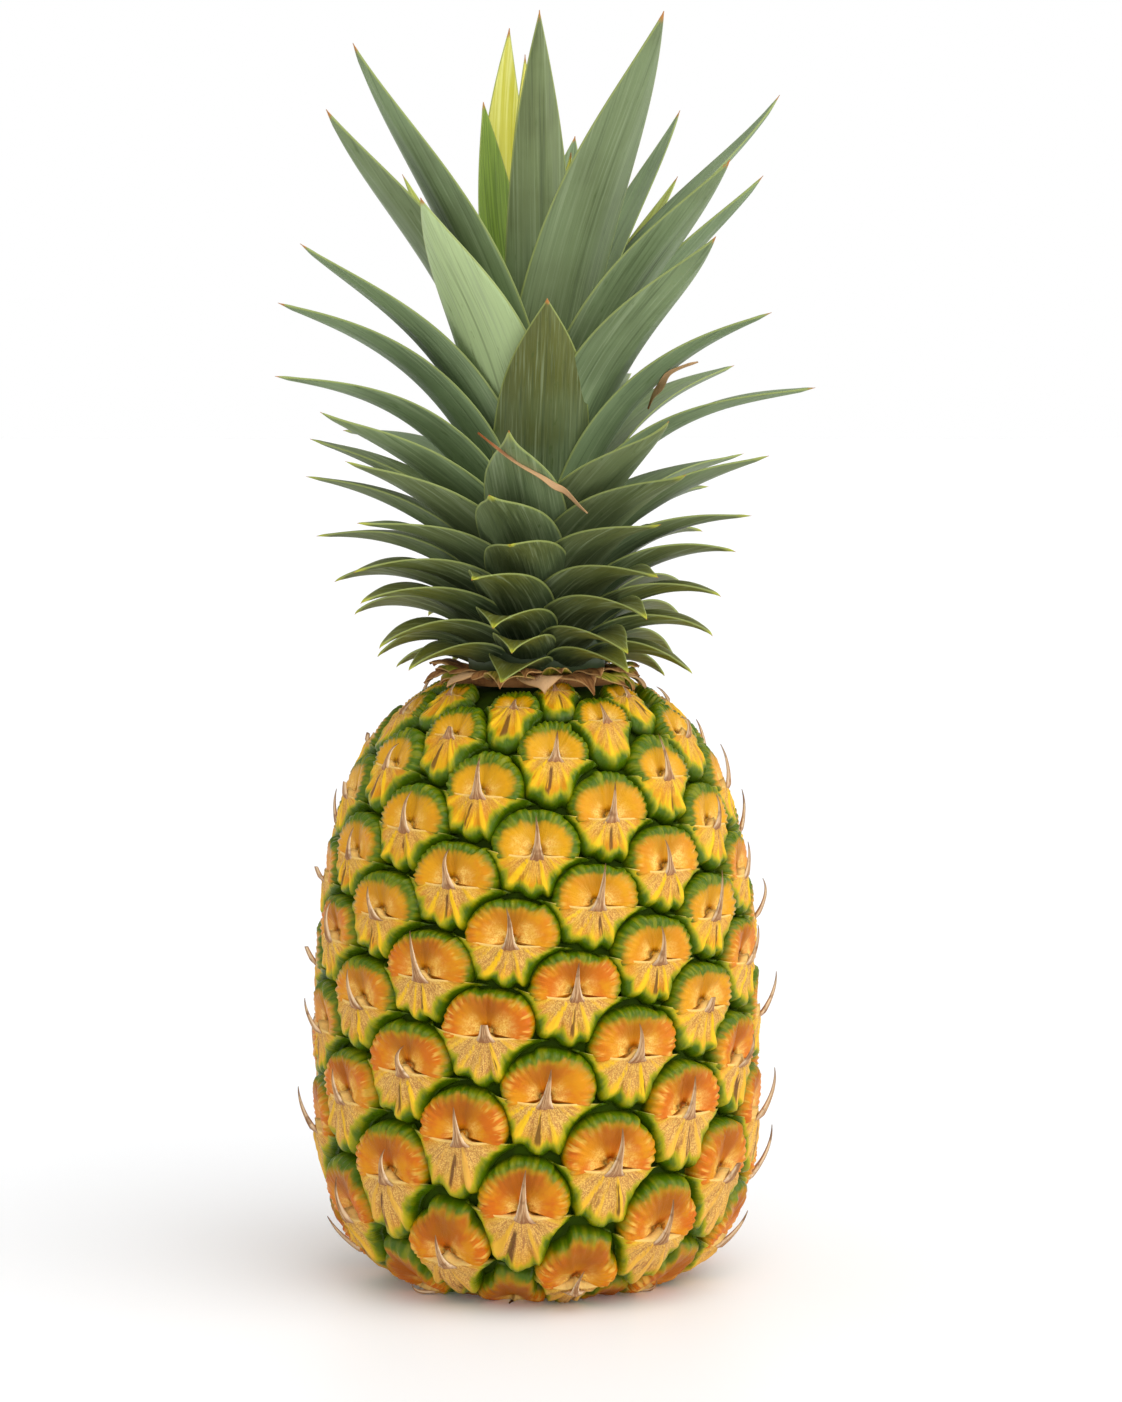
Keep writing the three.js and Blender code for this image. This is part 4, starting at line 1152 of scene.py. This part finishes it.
class PINEAPPLE_PG_colours(bpy.types.PropertyGroup):
    """Main colours of the skin and the leaves"""

    cushion_pale: colour("Cushion middle", "Pale cheeks of an eye's cushion", 252, 214, 110)
    cushion_orange: colour("Cushion ring", "Ripe ring round the cushion's middle", 206, 106, 0)
    rim_green: colour("Rim", "Green rim of the cushions and bracts", 74, 102, 0)
    groove_green: colour("Grooves", "Dark green between the eyes", 50, 72, 0)
    bract_yellow: colour("Bract flanks", "Yellow sides of a bract", 218, 160, 0)
    bract_tan: colour("Bract middle", "Tan middle of a bract", 196, 138, 70)
    dry_tan: colour("Dry straw", "Spines and dry leaf ends", 206, 166, 122)
    dry_brown: colour("Dry brown", "Dry bracts round the crown's foot", 122, 78, 40)
    leaf_low: colour("Olive leaf ends", "Upper part of the short leaves", 110, 112, 32)
    leaf_tall: colour("Tall leaves", "Long leaves at the top of the crown", 124, 144, 102)
    leaf_margin: colour("Leaf margins", "Thin edges of the leaves", 156, 168, 92)


class PINEAPPLE_PG_shapes(bpy.types.PropertyGroup):
    """Sizes that the dressing adds to the solids"""

    relief: number("Relief", "How strongly the eyes' folds and ribs stand out", 1, min=0, max=1.5)


class PINEAPPLE_PG_stage(bpy.types.PropertyGroup):
    """Camera, lights and floor"""

    camera_distance: length("Camera distance", "From the fruit's axis to the camera", 1.046)
    camera_height: length("Camera height", "Above the floor", 0.245)
    camera_aside: length("Camera aside", "To the right of the fruit's axis", 0.0069)
    camera_pitch: angle("Camera pitch", "How far the camera looks down", 4.4)
    camera_view: angle("Camera view", "Height of the view as an angle", 21.5)
    key_power: number("Key light", "Strength of the soft light from above", 1.5, min=0)
    key_size: angle("Key size", "How large the key light looks from the fruit", 60)
    key_height: angle("Key slant", "How far the key light leans from straight overhead", 32)
    key_aside: angle("Key aside", "How far the key light stands to the right", 40)
    side_power: number("Side light", "Strength of the low light without shadows", 0.75, min=0)
    side_size: angle("Side size", "How large the side light looks from the fruit", 20)
    side_height: angle("Side slant", "How far the side light leans from straight overhead", 80)
    side_aside: angle("Side aside", "How far the side light stands to the right", 62)


class PINEAPPLE_PG_settings(bpy.types.PropertyGroup):
    """Everything that a user would change"""

    colours: PointerProperty(type=PINEAPPLE_PG_colours)
    shapes: PointerProperty(type=PINEAPPLE_PG_shapes)
    stage: PointerProperty(type=PINEAPPLE_PG_stage)


def settings():
    return bpy.context.scene.pineapple


# Operators


def lower_and_upper(eyes):
    middle = len(eyes) // 2
    return ("lower", eyes[:middle]), ("upper", eyes[middle:])


class PINEAPPLE_OT_grooves(bpy.types.Operator):
    """Add the green skin in the grooves between the eyes"""

    bl_idname = "pineapple.grooves"
    bl_label = "Groove skin"

    def execute(self, context):
        material = groove_material(settings().colours)
        add_piece("groove_skin", "fruit", material, [groove_skin()])
        return {"FINISHED"}


class PINEAPPLE_OT_cushions(bpy.types.Operator):
    """Add the round cushions of the eyes"""

    bl_idname = "pineapple.cushions"
    bl_label = "Eye cushions"

    def execute(self, context):
        material, form = cushion_material(settings().colours), cushion_form()
        for name, eyes in lower_and_upper(grown_eyes()):
            cushions = [cushion_on(form, eye, settings().shapes.relief) for eye in eyes]
            add_piece(f"eye_cushions_{name}", "fruit", material, cushions)
        return {"FINISHED"}


class PINEAPPLE_OT_bracts(bpy.types.Operator):
    """Add the folded bract under each cushion"""

    bl_idname = "pineapple.bracts"
    bl_label = "Eye bracts"

    def execute(self, context):
        material, form = bract_material(settings().colours), bract_form()
        for name, eyes in lower_and_upper(grown_eyes()):
            bracts = [bract_on(form, eye, settings().shapes.relief) for eye in eyes]
            add_piece(f"eye_bracts_{name}", "fruit", material, bracts)
        return {"FINISHED"}


class PINEAPPLE_OT_spines(bpy.types.Operator):
    """Add the dry spine of each eye"""

    bl_idname = "pineapple.spines"
    bl_label = "Eye spines"

    def execute(self, context):
        spines = [spine_on(eye) for eye in grown_eyes()]
        add_piece("eye_spines", "fruit", spine_material(settings().colours), spines)
        return {"FINISHED"}


class PINEAPPLE_OT_stalk_end(bpy.types.Operator):
    """Add the cut end of the stalk"""

    bl_idname = "pineapple.stalk_end"
    bl_label = "Stalk end"

    def execute(self, context):
        points, quads, ends = turned_solid(STALK_PROFILE, 72)
        out = np.hypot(points[:, 0], points[:, 1]) / STALK_RADIUS
        turn = np.arctan2(points[:, 1], points[:, 0])
        uneven = 0.35 * np.sin(5 * turn) + 0.2 * np.sin(23 * turn) - 0.3
        points[:, :2] *= (1 + uneven / STALK_RADIUS * (out > 0.9))[:, None]
        parts = [(points, quads, ends, {"out": out})]
        material = stalk_material(settings().colours)
        add_piece("cut_stalk", "stalk_end", material, parts)
        return {"FINISHED"}


class PINEAPPLE_OT_short_leaves(bpy.types.Operator):
    """Add the crown's stem and its short leaves in spiral ranks"""

    bl_idname = "pineapple.short_leaves"
    bl_label = "Short leaves"

    def execute(self, context):
        profile = [(0, 171), *((radius, height) for height, radius in STEM_PROFILE), (0, 236)]
        stem = (*turned_solid(profile, 40), CORE_MARKS | {"age": 0.2, "yellow": 0, "half": 8})
        parts = [stem, *(rank_leaf(k) for k in range(RANK_LEAVES))]
        material = leaf_material(settings().colours)
        add_piece("crown_short_leaves", "crown", material, parts)
        return {"FINISHED"}


class PINEAPPLE_OT_long_leaves(bpy.types.Operator):
    """Add the crown's long leaves"""

    bl_idname = "pineapple.long_leaves"
    bl_label = "Long leaves"

    def execute(self, context):
        parts = [long_leaf(k, *row) for k, row in enumerate(LONG_LEAVES)]
        material = bpy.data.materials["crown_leaf"]
        add_piece("crown_long_leaves", "crown", material, parts)
        return {"FINISHED"}


class PINEAPPLE_OT_heart_leaves(bpy.types.Operator):
    """Add the bud and the young leaves in the middle of the crown"""

    bl_idname = "pineapple.heart_leaves"
    bl_label = "Heart leaves"

    def execute(self, context):
        bud = (*turned_solid(BUD_PROFILE, 32), CORE_MARKS | {"age": 1, "yellow": 0.6, "half": 4})
        parts = [bud, *(heart_leaf(k, *row) for k, row in enumerate(HEART_LEAVES))]
        material = bpy.data.materials["crown_leaf"]
        add_piece("crown_heart_leaves", "heart_leaves", material, parts)
        return {"FINISHED"}


class PINEAPPLE_OT_collar(bpy.types.Operator):
    """Add the dry bracts round the foot of the crown, and the strips of dead leaf on it"""

    bl_idname = "pineapple.collar"
    bl_label = "Dry bracts"

    def execute(self, context):
        material = dry_leaf_material(settings().colours)
        blades = [collar_blade(k, row) for row in (0, 1) for k in range(COLLAR_BLADES)]
        points, quads, _ = turned_solid(COLLAR_RING, 60)
        marks = {"along": 0.1, "lane": 0.3, "half": 5, "draw": 0.4}
        ring = (points, quads, np.empty((0, 3), int), marks)
        add_piece("collar_dry_bracts", "collar_bracts", material, [ring, *blades])
        strips = [dry_strip(k, line, half) for k, (half, line) in enumerate(STRIPS)]
        add_piece("crown_dry_strips", "crown", material, strips)
        return {"FINISHED"}


class PINEAPPLE_OT_stage(bpy.types.Operator):
    """Add the pale floor, the soft lights and the camera"""

    bl_idname = "pineapple.stage"
    bl_label = "Stage"

    def execute(self, context):
        stage = settings().stage
        scene = context.scene
        bpy.ops.mesh.primitive_grid_add(x_subdivisions=8, y_subdivisions=8, size=80)
        floor = context.object
        floor.name = "floor"
        floor.data.materials.append(floor_material())
        self.add_world(scene)
        self.add_sun(scene, stage, "key")
        self.add_sun(scene, stage, "side").use_shadow = False
        camera = bpy.data.cameras.new("camera")
        camera.sensor_width = 36
        camera.lens = camera.sensor_width / 2 / math.tan(stage.camera_view / 2)
        camera.clip_start, camera.clip_end = 0.05, 50
        view = bpy.data.objects.new("camera", camera)
        view.location = (stage.camera_aside, -stage.camera_distance, stage.camera_height)
        view.rotation_euler = (math.pi / 2 - stage.camera_pitch, 0, 0)
        scene.collection.objects.link(view)
        scene.camera = view
        scene.view_settings.view_transform = "Standard"
        return {"FINISHED"}

    def add_sun(self, scene, stage, name):
        lamp = bpy.data.lights.new(name, "SUN")
        power, lamp.angle, height, aside = (
            getattr(stage, f"{name}_{setting}") for setting in ("power", "size", "height", "aside")
        )
        lamp.energy = power
        sun = bpy.data.objects.new(name, lamp)
        sun.rotation_euler = (height, 0, aside)
        scene.collection.objects.link(sun)
        return lamp

    def add_world(self, scene):
        scene.world = bpy.data.worlds.new("white_surround")
        scene.world.use_nodes = True
        nodes, links = scene.world.node_tree.nodes, scene.world.node_tree.links
        nodes["Background"].inputs["Color"].default_value = (1, 1, 1, 1)
        height = nodes.new("ShaderNodeSeparateXYZ")
        links.new(nodes.new("ShaderNodeTexCoord").outputs["Generated"], height.inputs[0])
        glow = nodes.new("ShaderNodeMapRange")
        glow.interpolation_type = "SMOOTHSTEP"
        links.new(height.outputs["Z"], glow.inputs["Value"])
        for socket, value in zip(glow.inputs[1:5], GLOW.values()):
            socket.default_value = value
        links.new(glow.outputs[0], nodes["Background"].inputs["Strength"])


class PINEAPPLE_PT_panel(bpy.types.Panel):
    """Lists the pieces of the pineapple and their settings"""

    bl_label = "Pineapple"
    bl_idname = "PINEAPPLE_PT_panel"
    bl_space_type = "VIEW_3D"
    bl_region_type = "UI"
    bl_category = "Pineapple"

    def draw(self, context):
        for operator in OPERATORS:
            self.layout.operator(operator.bl_idname)
        for group in (settings().shapes, settings().colours, settings().stage):
            box = self.layout.box()
            for name in group.__annotations__:
                box.prop(group, name)


OPERATORS = (
    PINEAPPLE_OT_stage,
    PINEAPPLE_OT_grooves,
    PINEAPPLE_OT_cushions,
    PINEAPPLE_OT_bracts,
    PINEAPPLE_OT_spines,
    PINEAPPLE_OT_stalk_end,
    PINEAPPLE_OT_short_leaves,
    PINEAPPLE_OT_long_leaves,
    PINEAPPLE_OT_heart_leaves,
    PINEAPPLE_OT_collar,
)
GROUPS = (
    PINEAPPLE_PG_colours,
    PINEAPPLE_PG_shapes,
    PINEAPPLE_PG_stage,
    PINEAPPLE_PG_settings,
)


def register():
    for part in (*GROUPS, *OPERATORS, PINEAPPLE_PT_panel):
        bpy.utils.register_class(part)
    bpy.types.Scene.pineapple = PointerProperty(type=PINEAPPLE_PG_settings)


def unregister():
    del bpy.types.Scene.pineapple
    for part in reversed((*GROUPS, *OPERATORS, PINEAPPLE_PT_panel)):
        bpy.utils.unregister_class(part)


def main():
    register()
    for operator in OPERATORS:
        group, name = operator.bl_idname.split(".")
        getattr(getattr(bpy.ops, group), name)()


if __name__ == "__main__":
    main()
